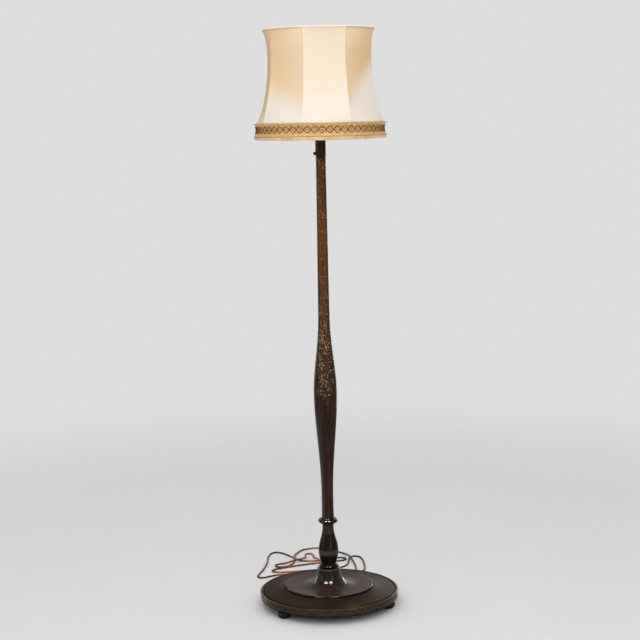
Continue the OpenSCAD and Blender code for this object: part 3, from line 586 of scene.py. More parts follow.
def paint(name, code, rough, mottle=0.85, gloss=0.35):
    """Paint, enamel, glaze or moulded plastic: one tone with a slight unevenness."""
    fin = Finish(name, {"Specular IOR Level": gloss})
    cloud = fin.noise(85, 4, 0.6)
    peel = fin.noise(900, 2, 0.5)
    tone = tint(code)
    fin.use("Base Color", fin.ramp(cloud, [(0.3, darker(tone, mottle)), (0.7, tone)]))
    fin.rough(cloud, rough, rough + 0.12)
    fin.bump(peel, 0.00012, 0.4)
    return fin.material


def bulb_glass(name):
    """Frosted glass of a lamp bulb."""
    fin = Finish(name, {"Transmission Weight": 0.55, "IOR": 1.45, "Specular IOR Level": 0.5})
    haze = fin.noise(70, 3, 0.5)
    fin.use("Base Color", fin.ramp(haze, [(0.3, tint("efece3")), (0.7, tint("faf8f2"))]))
    fin.rough(haze, 0.32, 0.42)
    return fin.material


def cover_satin(name, tones):
    """Stretched satin with fine slubs, whose painted tone carries each panel's painted light and
    shade.
    """
    fin = Finish(name, {"Specular IOR Level": 0.008, "Sheen Weight": 0.01, "Sheen Roughness": 0.4})
    painted = fin.node("Attribute", attribute_name="tone", attribute_type="GEOMETRY").outputs
    split = fin.node("SeparateColor", {"Color": painted["Color"]})
    # tan stands for painted shade, and pale for a painted highlight at the bell's foot
    base = fin.mix(split.outputs["Red"], tones.cream, tones.tan)
    base = fin.mix(split.outputs["Green"], base, tones.blush)
    base = fin.mix(split.outputs["Blue"], base, tones.pale)
    uv = fin.ring_uv()
    slub = fin.noise(420, 3, 0.6, fin.mapped((1, 0.03, 1), source=uv))
    weft = fin.noise(700, 2, 0.5, fin.mapped((0.06, 1, 1), source=uv))
    cloud = fin.noise(14, 3, 0.5)
    base = fin.mix(fin.span(slub, 0.3, 0.75, 0.0, 0.06), base, tones.tan)
    base = fin.mix(fin.span(cloud, 0.45, 0.8, 0.0, 0.10), base, tones.tan)
    # the dark share paints the seams, a line under the top edge and painted shade on panels that
    # face away
    fin.use("Base Color", fin.mix(painted["Alpha"], base, darker(tones.tan, 0.45)))
    fin.rough(slub, 0.40, 0.52)
    fin.bump(slub, 0.00015, 0.3)
    fin.bump(weft, 0.0001, 0.2)
    pucker = fin.noise(95, 2, 0.5, fin.mapped((1, 0.10, 1), source=uv))
    near_ring = fin.span(fin.axis("Z"), SHADE_Z + 0.002, SHADE_Z + 0.055, 1.0, 0.0)
    fin.bump(fin.times(pucker, near_ring), 0.0012, 0.35)
    return fin.material


def plain_cloth(name, tone, shade_tone):
    """Thin cloth in folds, deeper in tone between them."""
    fin = Finish(name, {"Specular IOR Level": 0.02, "Sheen Weight": 0.05, "Sheen Roughness": 0.45})
    threads = fin.noise(900, 2, 0.6)
    cloud = fin.noise(30, 4, 0.6)
    base = fin.mix(fin.span(cloud, 0.35, 0.7), tone, shade_tone)
    fin.use("Base Color", fin.mix(fin.span(threads, 0.4, 0.7, 0.0, 0.25), base,
                                  darker(shade_tone, 0.75)))
    fin.rough(threads, 0.55, 0.72)
    fin.bump(threads, 0.0002, 0.3)
    return fin.material


def braid_ground(name, tones):
    """Gold braid: close ribs across the band, mottled with painted glints, with darker threads in
    the middle zone.
    """
    fin = Finish(name, {"Specular IOR Level": 0.03, "Sheen Weight": 0.03})
    uv = fin.ring_uv()
    along, up = fin.axis("X", uv), fin.axis("Y", uv)
    ribs = fin.math("SINE", fin.times(along, math.tau / 0.0021))
    courses = fin.math("SINE", fin.times(up, math.tau / 0.0017))
    weave = fin.times(ribs, courses)
    mottle = fin.noise(300, 4, 0.65, uv)
    # the mottle's pale cream end is painted glints on the gold thread, here and in the middle zone
    gold = fin.ramp(mottle, [(0.38, darker(tones.gold, 0.36)), (0.5, tones.gold),
                             (0.60, tint("ffeabc"))])
    base = fin.mix(fin.span(weave, -1.0, 1.0, 0.0, 0.25), gold, darker(tones.gold, 0.35))
    centre = (GALLERY_Z + GALLERY_TOP) / 2
    off = fin.math("ABSOLUTE", fin.math("SUBTRACT", up, centre))
    zone = fin.span(off, 0.0060, 0.0090, 0.5, 0.0)
    base = fin.mix(zone, base, fin.ramp(mottle, [(0.38, tint("b06e32")), (0.60, tint("f2bf84"))]))
    fin.use("Base Color", base)
    fin.rough(mottle, 0.38, 0.62)
    fin.bump(weave, 0.0004, 0.6)
    fin.bump(mottle, 0.0003, 0.4)
    return fin.material


def thread(name, tone, bright, rough=0.45, sides=0.0):
    """Twisted thread or cord that shows its strands as fine slanting lines, with painted shade
    towards the lamp's left and right.
    """
    fin = Finish(name, {"Specular IOR Level": 0.03, "Sheen Weight": 0.03})
    strands = fin.noise(1500, 3, 0.6, fin.mapped(turn=(0.6, 0.3, 0.5)))
    cloud = fin.noise(120, 3, 0.5)
    base = fin.ramp(strands, [(0.35, darker(tone, 0.6)), (0.52, tone), (0.7, bright)])
    base = fin.mix(fin.span(cloud, 0.4, 0.7, 0.0, 0.35), base, darker(tone, 0.7))
    # painted shade: the thread is darker where the band turns to the lamp's left and right
    side = fin.math("ABSOLUTE", fin.axis("X"))
    fin.use("Base Color", fin.mix(fin.span(side, 0.05, 0.13, 0.0, sides), base, darker(tone, 0.25)))
    fin.rough(strands, rough, rough + 0.15)
    fin.bump(strands, 0.0003, 0.5)
    return fin.material


def lead_sheath(name, tones):
    """Old red-brown sheath with painted highlights in long orange stretches, most of all left of
    the foot, and small orange scuffs.
    """
    fin = Finish(name, {"Specular IOR Level": 0.08})
    # long_tone paints orange highlights in long stretches along the lead, most of all left of the
    # foot
    long_tone = fin.math("ADD", fin.noise(9, 2, 0.5), fin.span(
        fin.math("ABSOLUTE", fin.math("ADD", fin.axis("X"), 0.065)), 0.04, 0.09, 0.08, -0.07))
    scuff = fin.noise(140, 4, 0.6)
    base = fin.ramp(long_tone, [(0.36, darker(tones.lead, 0.6)), (0.52, tones.lead),
                                (0.60, tint("8e4a2c")), (0.70, tint("b0663a"))])
    fin.use("Base Color", fin.mix(fin.span(scuff, 0.52, 0.72, 0.0, 0.35), base, tint("b87048")))
    fin.rough(scuff, 0.30, 0.5)
    fin.bump(scuff, 0.0002, 0.3)
    return fin.material


PLAIN_FINISHES = {
    "wood_base": lambda: paint("plain_foot_lacquer", "3a2a21", 0.25),
    "wood_column": lambda: paint("plain_column_stain", "4a2c1b", 0.3),
    "wood_black": lambda: ebony_lacquer("plain_ebony", tint("120d0a")),
    "steel": lambda: metal("zinc_plated_steel", "a8a8a2", 0.28),
    "blackened_tin": lambda: paint("black_japan", "1c1a18", 0.3),
    "housing_metal": lambda: metal("bronzed_tube", "4a3424", 0.3, metallic=0.7),
    "brass": lambda: metal("turned_brass", "c9a35a", 0.22),
    "bakelite": lambda: paint("bakelite", "17100d", 0.16, 0.6, gloss=0.10),
    "porcelain": lambda: paint("white_glaze", "e6e1d4", 0.12, 0.95),
    "bulb_metal": lambda: metal("threaded_cap", "b9b9b4", 0.3),
    "bulb_glass": lambda: bulb_glass("frosted_glass"),
    "frame_wire": lambda: paint("cream_enamel", "ddd4bd", 0.32, 0.8),
    "cover_cloth": lambda: plain_cloth("plain_satin", tint("f2e2c6"), tint("d6b083")),
    "lining_cloth": lambda: plain_cloth("plain_lining", tint("e6b48a"), tint("d39a6c")),
    "edge_cloth": lambda: plain_cloth("plain_edging", tint("e3c196"), tint("c49264")),
    "braid_cloth": lambda: thread("plain_braid", tint("c79d55"), tint("e2bf7c")),
    "rubber": lambda: paint("moulded_rubber", "1f1c1a", 0.55),
    "lead_sheath": lambda: paint("inner_sheath", "5b3026", 0.4),
    "plug_plastic": lambda: paint("plug_moulding", "1d1b1a", 0.45),
    "pin_metal": lambda: metal("nickel_pin", "d4d4ce", 0.15),
}


def finish_frame_nodes():
    """Gives every construction node the finish of its material slot."""
    made = {}
    for part in frame["record"]["subparts"]:
        slot = part["material_slot"]
        if slot not in made:
            made[slot] = PLAIN_FINISHES[slot]()
        mesh = NODES[part["node"]].data
        mesh.materials.clear()
        mesh.materials.append(made[slot])


# ------------------------------------------------------------------ outlines of the turned pieces

def plate_outline():
    """The round plate in millimetres: rim bead, fine groove and the rise to the disc."""
    r, disc, chamber = PLATE_R / MM, DISC_R / MM, 22
    crown = 9
    rim = (DISC_Z - PLATE_Z) / MM - crown
    bead, groove = 3.5, 2.4
    return (
        [(chamber, 0), (r - 4, 0)]
        + arc((r - 4.5, 3), 3, -90, 0)
        + [(r - 1.5, rim - 8.5), (r - 2.6, rim - 7)]
        + arc((r - bead, rim - bead), bead, -60, 150, 14)
        + smooth([(r - 7.4, rim - groove), (r - 8.8, rim - groove - 0.3), (r - 10.4, rim - groove),
                  (r - 11.2, rim - 0.6), (r - 12.4, rim - 0.1)], 4)
        + smooth([(r - 14, rim), (r - 30, rim + crown * 0.2), (disc + 22, rim + crown * 0.4),
                  (disc + 10, rim + crown * 0.72), (disc + 3.4, rim + crown - 0.4),
                  (disc + 2.2, rim + crown), (disc + 1, rim + crown - 0.6)], 6)
        + [(disc + 0.6, rim + crown - 1.4), (disc - 1, rim + crown - 1.4), (disc - 2, rim + crown),
           (chamber, rim + crown)]
    )


def pedestal_outline():
    """The disc and the flared neck in millimetres."""
    disc, edge, bend = DISC_R / MM, 5, 2.4
    neck, high = 32, (VASE_Z - DISC_Z) / MM
    return (
        [(22, 0), (disc - 2.4, 0), (disc, 1), (disc, edge - bend)]
        + arc((disc - bend, edge - bend), bend, 0, 90)
        + smooth([(disc - 8, edge - 0.3), (disc - 30, edge - 1.2), (neck + 40, edge - 0.9),
                  (neck + 27, edge + 1.4), (neck + 16, edge + 5.5), (neck + 8, edge + 13.5),
                  (neck + 2.6, edge + 24), (neck + 0.6, high * 0.74), (neck, high - 4)])
        + smooth([(neck - 0.2, high - 2), (neck - 1, high - 0.6), (neck - 3, high)], 4)
        + [(5.2, high), (5.2, 12), (22, 12)]
    )


def vase_outline():
    """The vase with its bottom bead in millimetres."""
    bead_r, bead_h, vase_r, neck, high = 26.2, 10, 27.1, 15.9, (COLLAR_Z - VASE_Z) / MM
    return (
        [(5.2, 0), (bead_r - 3.5, 0)]
        + arc((bead_r - bead_h / 2, bead_h / 2), bead_h / 2, -80, 80, 14)
        + [(vase_r - 7.2, bead_h + 0.8)]
        + smooth([(vase_r - 7.6, bead_h + 3), (vase_r - 5, bead_h + 10), (vase_r - 2, bead_h + 20),
                  (vase_r, bead_h + 36), (vase_r - 2.6, bead_h + 59), (neck + 2.2, high - 33),
                  (neck - 0.8, high - 13), (neck - 0.4, high)])
        + [(5.2, high)]
    )


def collar_outline():
    """A full round ring with a small bead above it, in millimetres."""
    r, bead, neck, high = 26.8, 5.6, 15.9, (SHAFT_Z - COLLAR_Z) / MM
    return (
        [(5.2, 0.2), (neck + 1, 0.2)]
        + arc((r - bead, bead + 1), bead, -110, 115, 28)
        + arc((neck + 1.2, high - 1.8), 1.8, -40, 90, 10)
        + [(5.2, high)]
    )


def shaft_outline():
    """The long shaft with its swell in millimetres."""
    foot, swell, slim, head = 15.9, 31.5, 15.3, 13.2
    swell_at, below, above = 346, 290, 234
    long = (SHAFT_TOP - SHAFT_Z) / MM
    lower = [(foot + (swell - foot) * ease(i / 36) ** 1.15, swell_at - below * (1 - i / 36))
             for i in range(37)]
    upper = [(slim + (swell - slim) * ease(1 - i / 30) ** 1.45, swell_at + above * i / 30)
             for i in range(1, 31)]
    return (
        [(5.2, 0.1), (foot + 0.8, 0.1)]
        + smooth([(foot + 0.7, 0.6), (foot + 0.3, 18), (foot, 42)], 4)[:-1]
        + lower + upper
        + smooth([(slim - 0.1, swell_at + above + 20), (head + 0.2, long - 60),
                  (head, long - 1)], 6)
        + [(head - 0.8, long), (5.2, long)]
    )


def bun_foot_outline():
    """A flattened bun with a bore for its screw, in millimetres."""
    r, high = 18.5, PLATE_Z / MM
    return (
        [(5, 0), (r - 8, 0)]
        + smooth([(r - 5, 0.8), (r - 0.8, high * 0.3), (r, high * 0.5), (r - 1.2, high * 0.74),
                  (r - 5, high - 2)])
        + [(r - 5, high - 0.1), (2.6, high - 0.1), (2.6, 7.2), (5, 7.2)]
    )


# ------------------------------------------------------------------ the bell's form

def bell_radius(sizes, t):
    """Radius over the struts at share t of the bell's height."""
    waist, slim = sizes.waist_share, sizes.waist_radius
    if t < waist:
        return slim + (sizes.foot_radius - slim) * ((waist - t) / waist) ** 1.8
    return slim + (sizes.top_radius - slim) * ((t - waist) / (1 - waist)) ** 3


def panel_radius(sizes, t, angle):
    """The panels are round at the rings and flat between the struts."""
    turn = math.tau / sizes.panels
    off = (angle % turn) - turn / 2
    pull = max(0.0, math.sin(math.pi * t)) ** 0.6
    return bell_radius(sizes, t) * (1 - pull * (1 - math.cos(turn / 2) / math.cos(off)))


# How strongly the columns of the cloth are drawn to the seams
SEAM_PULL = 0.44


def bell_cloth(sizes, inset, low, high, columns, levels, flutes):
    """A bmesh of cloth that follows the panels, its surface moved by the flutes."""
    heights = [low + (high - low) * i / levels for i in range(levels + 1)]
    # the radius is only a start, because each vertex gets its own below
    wall = [(0.15, SHADE_Z + COVER_H * t) for t in heights]
    bm = spun(wall, sizes.panels * columns, closed=False)
    turn = math.tau / sizes.panels
    start = Vector((0, 0, 1)).orthogonal()
    first = math.atan2(start.y, start.x)
    for vert in bm.verts:
        t = (vert.co.z - SHADE_Z) / COVER_H
        angle = (math.atan2(vert.co.y, vert.co.x) - first) % math.tau
        panel = math.floor(angle / turn + 1e-4)
        u = angle / turn - panel
        if 0 < u < 1:
            u -= SEAM_PULL * math.sin(math.tau * u) / math.tau
        angle = (panel + u) * turn
        r = panel_radius(sizes, t, angle) - inset + flutes(angle, t, u)
        angle += sizes.strut_turn
        vert.co = (r * math.cos(angle), r * math.sin(angle), vert.co.z)
    return bm


def pulled_wrinkles(angle, t, u):
    """Faint pull lines that fan from the panel's foot, and a touch of slack near the rings."""
    side = math.sin(math.pi * min(1.0, max(0.0, u)))
    fan = noise.noise(Vector((angle * 9 + t * 3, t * 2.2, 4.1))) * 0.0006
    fine = noise.noise(Vector((angle * 42, t * 3.0, 1.7))) * 0.00022
    foot = rise(t, 0.30, 0.0)
    crown = rise(t, 0.82, 1.0)
    return side * (fan + fine * (1 + 1.6 * foot + crown)) * min(1.0, 8 * (1 - t), 12 * t + 0.1)


# The panels' tone is painted light and shade, counted round from the front one: tan is painted
# shade where less light falls, and the front panel keeps the pale tone of the lit side; the columns
# are how deep the tan is, the shares of the height at which it ends near the front and on the far
# side, and the share of painted shade
PANEL_LIGHT_AND_SHADE = ((0.10, 0.30, 0.30, 0.0), (1.0, 0.17, 0.58, 0.0), (0.85, 0.30, 0.50, 0.08),
             (0.75, 0.35, 0.35, 0.04), (0.85, 0.30, 0.30, 0.04), (0.70, 0.35, 0.35, 0.08),
             (1.0, 0.0, 0.10, 0.22), (0.80, 0.15, 0.35, 0.0))


def panel_tone(sizes, angle, t):
    """Shares of tan, blush, pale and dark tone at a place on the bell; tan is painted shade, pale a
    painted highlight, and the dark share is seams, a line under the top edge and painted shade.
    """
    turn = math.tau / sizes.panels
    panel = math.floor((angle - sizes.strut_turn) / turn)
    front = math.floor((-math.pi / 2 - sizes.strut_turn) / turn)
    step = (panel - front) % sizes.panels
    u = (angle - sizes.strut_turn) / turn - panel
    if step > sizes.panels / 2:
        u = 1 - u
    depth, near, far, painted_shade = PANEL_LIGHT_AND_SHADE[step % len(PANEL_LIGHT_AND_SHADE)]
    edge = near + (far - near) * u
    # tan is painted shade where less light falls on the panel
    tan = depth * rise(t, edge - 0.16, edge + 0.20) * (0.62 + 0.38 * rise(u, 0.0, 0.8))
    tan *= 1 - 0.5 * rise(t, 0.70, 1.0) * (1 - u)
    blush = depth * rise(t, 0.70, 0.98) * (0.75 - 0.55 * u)
    # pale is a painted highlight low on the panels, where the bell's foot flares up into the light
    pale = 1 - rise(t, edge - 0.18, edge + 0.16) if step else 0.85 * rise(t, 0.55, 0.05)
    seam = max(rise(u, 0.020, 0.0), rise(u, 0.980, 1.0)) * (0.2 + 0.5 * rise(t, 0.25, 0.85))
    bound = 0.6 * rise(t, 0.978, 0.994)
    return tan, blush, pale, max(seam * depth ** 2, bound * (0.3 + 0.7 * depth), painted_shade)


def paint_tones(mesh, sizes):
    """Paints the tone of each face corner, so that it changes crisply at the seams."""
    layer = mesh.color_attributes.new(name="tone", type="FLOAT_COLOR", domain="CORNER")
    for face in mesh.polygons:
        centre = face.center
        middle_angle = math.atan2(centre.y, centre.x)
        for loop in face.loop_indices:
            p = mesh.vertices[mesh.loops[loop].vertex_index].co
            angle = math.atan2(p.y, p.x)
            angle += math.tau * round((middle_angle - angle) / math.tau)
            angle = middle_angle + (angle - middle_angle) * 0.998
            t = (p.z - SHADE_Z) / COVER_H
            layer.data[loop].color = panel_tone(sizes, angle, t)


def thicken(piece, thick):
    """Gives cloth its thickness, inward from the modelled face."""
    shell = piece.modifiers.new("cloth", "SOLIDIFY")
    shell.thickness = thick
    shell.offset = -1.0


# ------------------------------------------------------------------ stage, camera and lights

# The camera stands where the photograph was taken from: low, level with the shade's foot
CAMERA_PLACE = Vector((-0.0106, -4.023, 1.307))
CAMERA_PITCH = math.radians(7.417)
CAMERA_ROLL = math.radians(1.15)
CAMERA_LENS = 85.33
LAMP_RADIUS = 0.47
LAMP_REACH = 2.5
LAMP_RISE = math.radians(49)
LAMP_TURNS = (math.radians(-32), math.radians(17.5))
GLINT_SHARE = 0.97
# Place, target and size of the broad lights, and of the lamp behind that only gloss shows
FRONT = (Vector((0, -3.8, 2.5)), Vector((0, 0, 0.9)), 2.3)
ABOVE = (Vector((0, 0.3, 3.3)), Vector((0, 0.3, 0)), 3.0)
SHEEN = (Vector((1.05, 4.0, 1.35)), Vector((0.1, 0, 0)), 1.3)
# Direction of each tall strip from the front, and its brightness beside the setting
STRIPS = {"left": (math.radians(-70), 1.0), "far_left": (math.radians(-132), 0.5),
          "right": (math.radians(30), 0.9), "far_right": (math.radians(150), 0.7)}
STRIP_REACH, STRIP_HEIGHT, STRIP_WIDTH, STRIP_TALL = 2.6, 0.75, 0.16, 12.0
FLOOR_RADIUS = 7
FADE_FROM, FADE_TO = 1.1, 3.2


def area_lamp(name, place, target, size, glow, shape="DISK", tall=1.0):
    """A soft lamp whose face has the given brightness, kept out of the camera's sight."""
    light = bpy.data.lights.new(name, "AREA")
    light.shape = shape
    light.size = size
    light.size_y = size * tall
    face = size ** 2 * (math.pi / 4 if shape == "DISK" else tall)
    light.energy = glow * math.pi * face
    lamp = bpy.data.objects.new(name, light)
    lamp.location = place
    lamp.rotation_euler = (target - place).to_track_quat("-Z", "Y").to_euler()
    lamp.visible_camera = False
    bpy.context.scene.collection.objects.link(lamp)
    return lamp


class LAMP_OT_stage(Operator):
    """Set up the camera, the pale floor and background, and the soft lamps"""
    bl_idname = "floor_lamp.stage"
    bl_label = "Stage, camera and lights"

    def execute(self, context):
        stage = context.scene.stage_settings
        self.camera(context.scene)
        self.world(context.scene, stage)
        self.floor(stage)
        self.lamps(stage)
        context.scene.view_settings.view_transform = "Standard"
        return {"FINISHED"}

    def camera(self, scene):
        data = bpy.data.cameras.new("photograph")
        data.sensor_fit = "HORIZONTAL"
        data.sensor_width = 36
        data.lens = CAMERA_LENS
        data.dof.use_dof = False
        camera = bpy.data.objects.new("photograph", data)
        turn = (Matrix.Rotation(math.pi / 2 - CAMERA_PITCH, 4, "X")
                @ Matrix.Rotation(-CAMERA_ROLL, 4, "Z"))
        camera.location = CAMERA_PLACE
        camera.rotation_euler = turn.to_euler()
        scene.collection.objects.link(camera)
        scene.camera = camera

    def world(self, scene, stage):
        world = bpy.data.worlds.new("pale_room")
        world.use_nodes = True
        scene.world = world
        tree = world.node_tree
        background = tree.nodes["Background"]
        path = tree.nodes.new("ShaderNodeLightPath")
        seen = path.outputs["Is Camera Ray"]
        for ray in ("Is Glossy Ray", "Is Transmission Ray"):
            either = tree.nodes.new("ShaderNodeMath")
            either.operation = "MAXIMUM"
            tree.links.new(seen, either.inputs[0])
            tree.links.new(path.outputs[ray], either.inputs[1])
            seen = either.outputs[0]
        level = tree.nodes.new("ShaderNodeMapRange")
        tree.links.new(seen, level.inputs["Value"])
        level.inputs["To Min"].default_value = stage.room
        level.inputs["To Max"].default_value = stage.backdrop
        background.inputs["Color"].default_value = (1, 1, 1, 1)
        tree.links.new(level.outputs["Result"], background.inputs["Strength"])

    def floor(self, stage):
        bm = bmesh.new()
        bmesh.ops.create_circle(bm, cap_ends=True, segments=96, radius=FLOOR_RADIUS)
        mesh = bpy.data.meshes.new("floor")
        bm.to_mesh(mesh)
        bm.free()
        floor = bpy.data.objects.new("floor", mesh)
        bpy.context.scene.collection.objects.link(floor)
        fin = Finish("floor_paper", {"Roughness": 1.0, "Specular IOR Level": 0.0})
        soft = fin.noise(3, 2, 0.5)
        fin.use("Base Color", fin.ramp(soft, [(0.2, (stage.floor * 0.985,) * 3 + (1,)),
                                              (0.8, (stage.floor,) * 3 + (1,))]))
        out = fin.node("VectorMath", {0: fin.place}, operation="LENGTH").outputs["Value"]
        seen = fin.node("LightPath").outputs["Is Camera Ray"]
        fade = fin.times(fin.span(out, FADE_FROM, FADE_TO), seen)
        clear = fin.node("BsdfTransparent").outputs[0]
        blend = fin.node("MixShader", {0: fade, 1: fin.shader.outputs[0], 2: clear}).outputs[0]
        fin.feed(fin.tree.nodes["Material Output"].inputs["Surface"], blend)
        mesh.materials.append(fin.material)

    def lamps(self, stage):
        target = Vector((0, 0, 0.25))
        level, lift = math.cos(LAMP_RISE), math.sin(LAMP_RISE)
        for side, turn in zip(("left", "right"), LAMP_TURNS):
            way = Vector((math.sin(turn) * level, -math.cos(turn) * level, lift)) * LAMP_REACH
            area_lamp("round_lamp_" + side, target + way, target, 2 * LAMP_RADIUS, stage.lamp_glow)
            # nearer than the round lamp, so that it isn't hidden by it
            glint = area_lamp("glint_" + side, target + way * GLINT_SHARE, target, 2 * LAMP_RADIUS,
                              stage.lamp_glint)
            glint.visible_diffuse = False
        front = area_lamp("front", *FRONT, stage.front, "RECTANGLE")
        above = area_lamp("above", *ABOVE, stage.above, "RECTANGLE")
        front.visible_glossy = above.visible_glossy = False
        for side, (turn, part) in STRIPS.items():
            place = Vector((STRIP_REACH * math.sin(turn), -STRIP_REACH * math.cos(turn),
                            STRIP_HEIGHT))
            strip = area_lamp("strip_" + side, place, Vector((0, 0, STRIP_HEIGHT)), STRIP_WIDTH,
                              stage.strip * part, "RECTANGLE", STRIP_TALL)
            strip.visible_diffuse = False
        area_lamp("sheen", *SHEEN, stage.sheen).visible_diffuse = False


# ------------------------------------------------------------------ mains lead

GROUND = 0.0025
PLUG_AT = Vector((0.066, 0.230, 0.0068))
PLUG_TAIL = 0.020
PLUG_LEN = 0.034

# The lead's way over the floor, traced from the photograph: places in millimetres, and how high the
# lead is raised where it lies over itself
LEAD_WAY = (
    (-70, 279), (-118, 271), (-154, 262), (-174, 250), (-186, 241), (-198, 241), (-205, 251),
    (-203, 275), (-194, 312), (-183, 394), (-180, 460), (-173, 488), (-159, 500), (-141, 489),
    (-111, 447), (-79, 404), (-45, 400), (5, 421), (30, 430), (47, 426), (53, 412), (43, 400),
    (18, 395), (-35, 377), (-79, 360), (-117, 342), (-146, 327), (-161, 317), (-165, 303),
    (-153, 292), (-119, 293), (-50, 304), (10, 317), (43, 334), (57, 362), (62, 404), (67, 430),
    (79, 444),
    (93, 436), (101, 412), (106, 366), (106, 310), (103, 292), (94, 283), (84, 290), (81, 308),
    (80, 338), (75, 380, 1), (63, 428, 6), (43, 476, 1), (5, 516), (-40, 538), (-74, 524),
    (-94, 485, 1), (-102, 434, 6), (-104, 382), (-117, 354), (-138, 343), (-153, 347), (-158, 360),
    (-148, 373), (-128, 378, 1.5), (-102, 388, 6), (-77, 406, 6), (-67, 438, 1.5), (-70, 463),
    (-65, 477), (-54, 478), (-47, 464), (-43, 432, 1.5), (-33, 404, 6), (-23, 378, 6),
    (-6, 348, 1.5), (10, 317, 6), (18, 286, 1), (20, 262), (27, 242, 1),
)


def lead_route():
    """Points of the lead's route: out of the foot, in loops over the floor, and to the plug."""
    mouth = PLATE_R + 0.025
    leave = [(0, PLATE_R, LEAD_Z), (0, mouth - 0.004, LEAD_Z), (0, mouth, LEAD_Z),
             (0, mouth + 0.012, LEAD_Z - 0.0015), (-0.008, mouth + 0.034, 0.019),
             (-0.030, 0.276, 0.007)]
    loops = [(x * MM, y * MM, GROUND + sum(lift) * MM) for x, y, *lift in LEAD_WAY]
    return leave + loops + [(PLUG_AT.x - PLUG_TAIL, PLUG_AT.y, PLUG_AT.z)]


class LAMP_OT_mains_lead(Operator):
    """Lay the mains lead on the floor, with its ribbed strain relief and its plug"""
    bl_idname = "floor_lamp.mains_lead"
    bl_label = "Mains lead and plug"

    def execute(self, context):
        sizes, tones = context.scene.lead_sizes, context.scene.lamp_colours
        line = [Vector((p.x, p.y, max(p.z, GROUND))) for p in smooth(lead_route(), 5)]
        lead = tube_curve("mains_lead", line, sizes.diameter,
                          lead_sheath("old_sheath", tones), STAND)
        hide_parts("cord_run")
        relief = self.strain_relief(sizes)
        plug = self.plug(sizes)
        return {"FINISHED"}

    def strain_relief(self, sizes):
        """A tapered sleeve with rounded ribs, wide at the bush."""
        low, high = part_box("strain_relief")
        bore, ribs = sizes.diameter / 2 + 0.0001, 6
        wide, slim = 0.0054, 0.0034
        span = high.y - low.y
        outline = [(bore, low.y), (wide, low.y), (wide, low.y + 0.003)]
        for rib in range(ribs):
            start = low.y + 0.004 + (span - 0.006) * rib / ribs
            pitch = (span - 0.006) / ribs
            r = wide + (slim - wide) * (rib + 1) / ribs
            outline += [(r - 0.0007, start), (r, start + pitch * 0.25),
                        (r, start + pitch * 0.6), (r - 0.0007, start + pitch * 0.85)]
        outline += [(slim - 0.0004, high.y - 0.001), (slim - 0.0006, high.y), (bore, high.y)]
        bm = spun(outline, 32, axis=(0, 1, 0))
        bmesh.ops.translate(bm, verts=bm.verts, vec=(0, 0, LEAD_Z))
        return finish_piece("ribbed_relief", bm, paint("relief_rubber", "1f1c1a", 0.5), STAND,
                            ["strain_relief"])

    def plug(self, sizes):
        """A flat moulded plug with finger ridges and a ribbed tail."""
        low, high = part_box("plug_body")
        half_w, half_t = (high.y - low.y) / 2, (high.z - low.z) / 2
        bm = bmesh.new()
        outline = [(0.000, 0.007), (0.004, 0.0095), (0.016, half_w - 0.0015), (0.024, half_w),
                   (PLUG_LEN, half_w)]
        points = outline + [(x, -y) for x, y in reversed(outline)]
        face = bm.faces.new([bm.verts.new((x, y, -half_t)) for x, y in points])
        raised = bmesh.ops.extrude_face_region(bm, geom=[face])
        top_verts = [g for g in raised["geom"] if isinstance(g, bmesh.types.BMVert)]
        bmesh.ops.translate(bm, verts=top_verts, vec=(0, 0, 2 * half_t))
        bmesh.ops.recalc_face_normals(bm, faces=bm.faces)
        bmesh.ops.bevel(bm, geom=bm.edges[:], offset=0.0022, affect="EDGES", segments=4,
                        profile=0.5, material=-1)
        for side in (-1, 1):
            for ridge in range(4):
                shape = (Matrix.Translation((0.012 + 0.004 * ridge, 0, side * (half_t - 0.0002)))
                         @ Matrix.Diagonal((0.0016, 0.014, 0.001, 1)))
                made = bmesh.ops.create_cube(bm, size=1, matrix=shape)
                edges = list({e for v in made["verts"] for e in v.link_edges})
                bmesh.ops.bevel(bm, geom=edges, offset=0.0003, affect="EDGES", segments=2,
                                profile=0.5, material=-1)
        join_in(bm, self.tail(sizes))
        bmesh.ops.translate(bm, verts=bm.verts, vec=PLUG_AT)
        return finish_piece("moulded_plug", bm, paint("plug_shell", "1d1b1a", 0.42), STAND,
                            ["plug_body"])

    def tail(self, sizes):
        """The plug's ribbed tail, along its own axis."""
        bore, ribs, slim, wide = sizes.diameter / 2, 5, 0.0033, 0.0052
        outline = [(bore, -PLUG_TAIL), (slim, -PLUG_TAIL)]
        for rib in range(ribs):
            start = -PLUG_TAIL + PLUG_TAIL * (rib + 0.15) / ribs
            r = slim + (wide - slim) * rib / (ribs - 1)
            outline += [(r, start), (r, start + 0.0022), (r - 0.0007, start + 0.0026),
                        (r - 0.0007, start + 0.0034)]
        outline += [(wide, 0.001), (bore, 0.001)]
        return spun(outline, 28, axis=(1, 0, 0))


# ------------------------------------------------------------------ foot and column

class LAMP_OT_foot(Operator):
    """Turn the round foot with its rim bead, raised disc and bun feet"""
    bl_idname = "floor_lamp.foot"
    bl_label = "Foot"

    def execute(self, context):
        tones = context.scene.lamp_colours
        turned("turned_plate", plate_outline(), PLATE_Z,
               foot_wood("plate_lacquer", tones, tones.foot_wood, 0.008, 0.3),
               ["base_plate"], steps=224)
        turned("turned_pedestal", pedestal_outline(), DISC_Z,
               foot_wood("pedestal_lacquer", tones, tones.disc, 0.05, 0.04),
               ["pedestal"], steps=192)
        black = ebony_lacquer("black_gloss", tones.ebony)
        for side in ("rear", "left", "right"):
            node = "bun_foot_" + side
            place = middle(node)
            bm = spun(in_mm(bun_foot_outline()), 64)
            bmesh.ops.translate(bm, verts=bm.verts, vec=(place.x, place.y, 0))
            finish_piece("turned_foot_" + side, bm, black, STAND, [node])
        return {"FINISHED"}


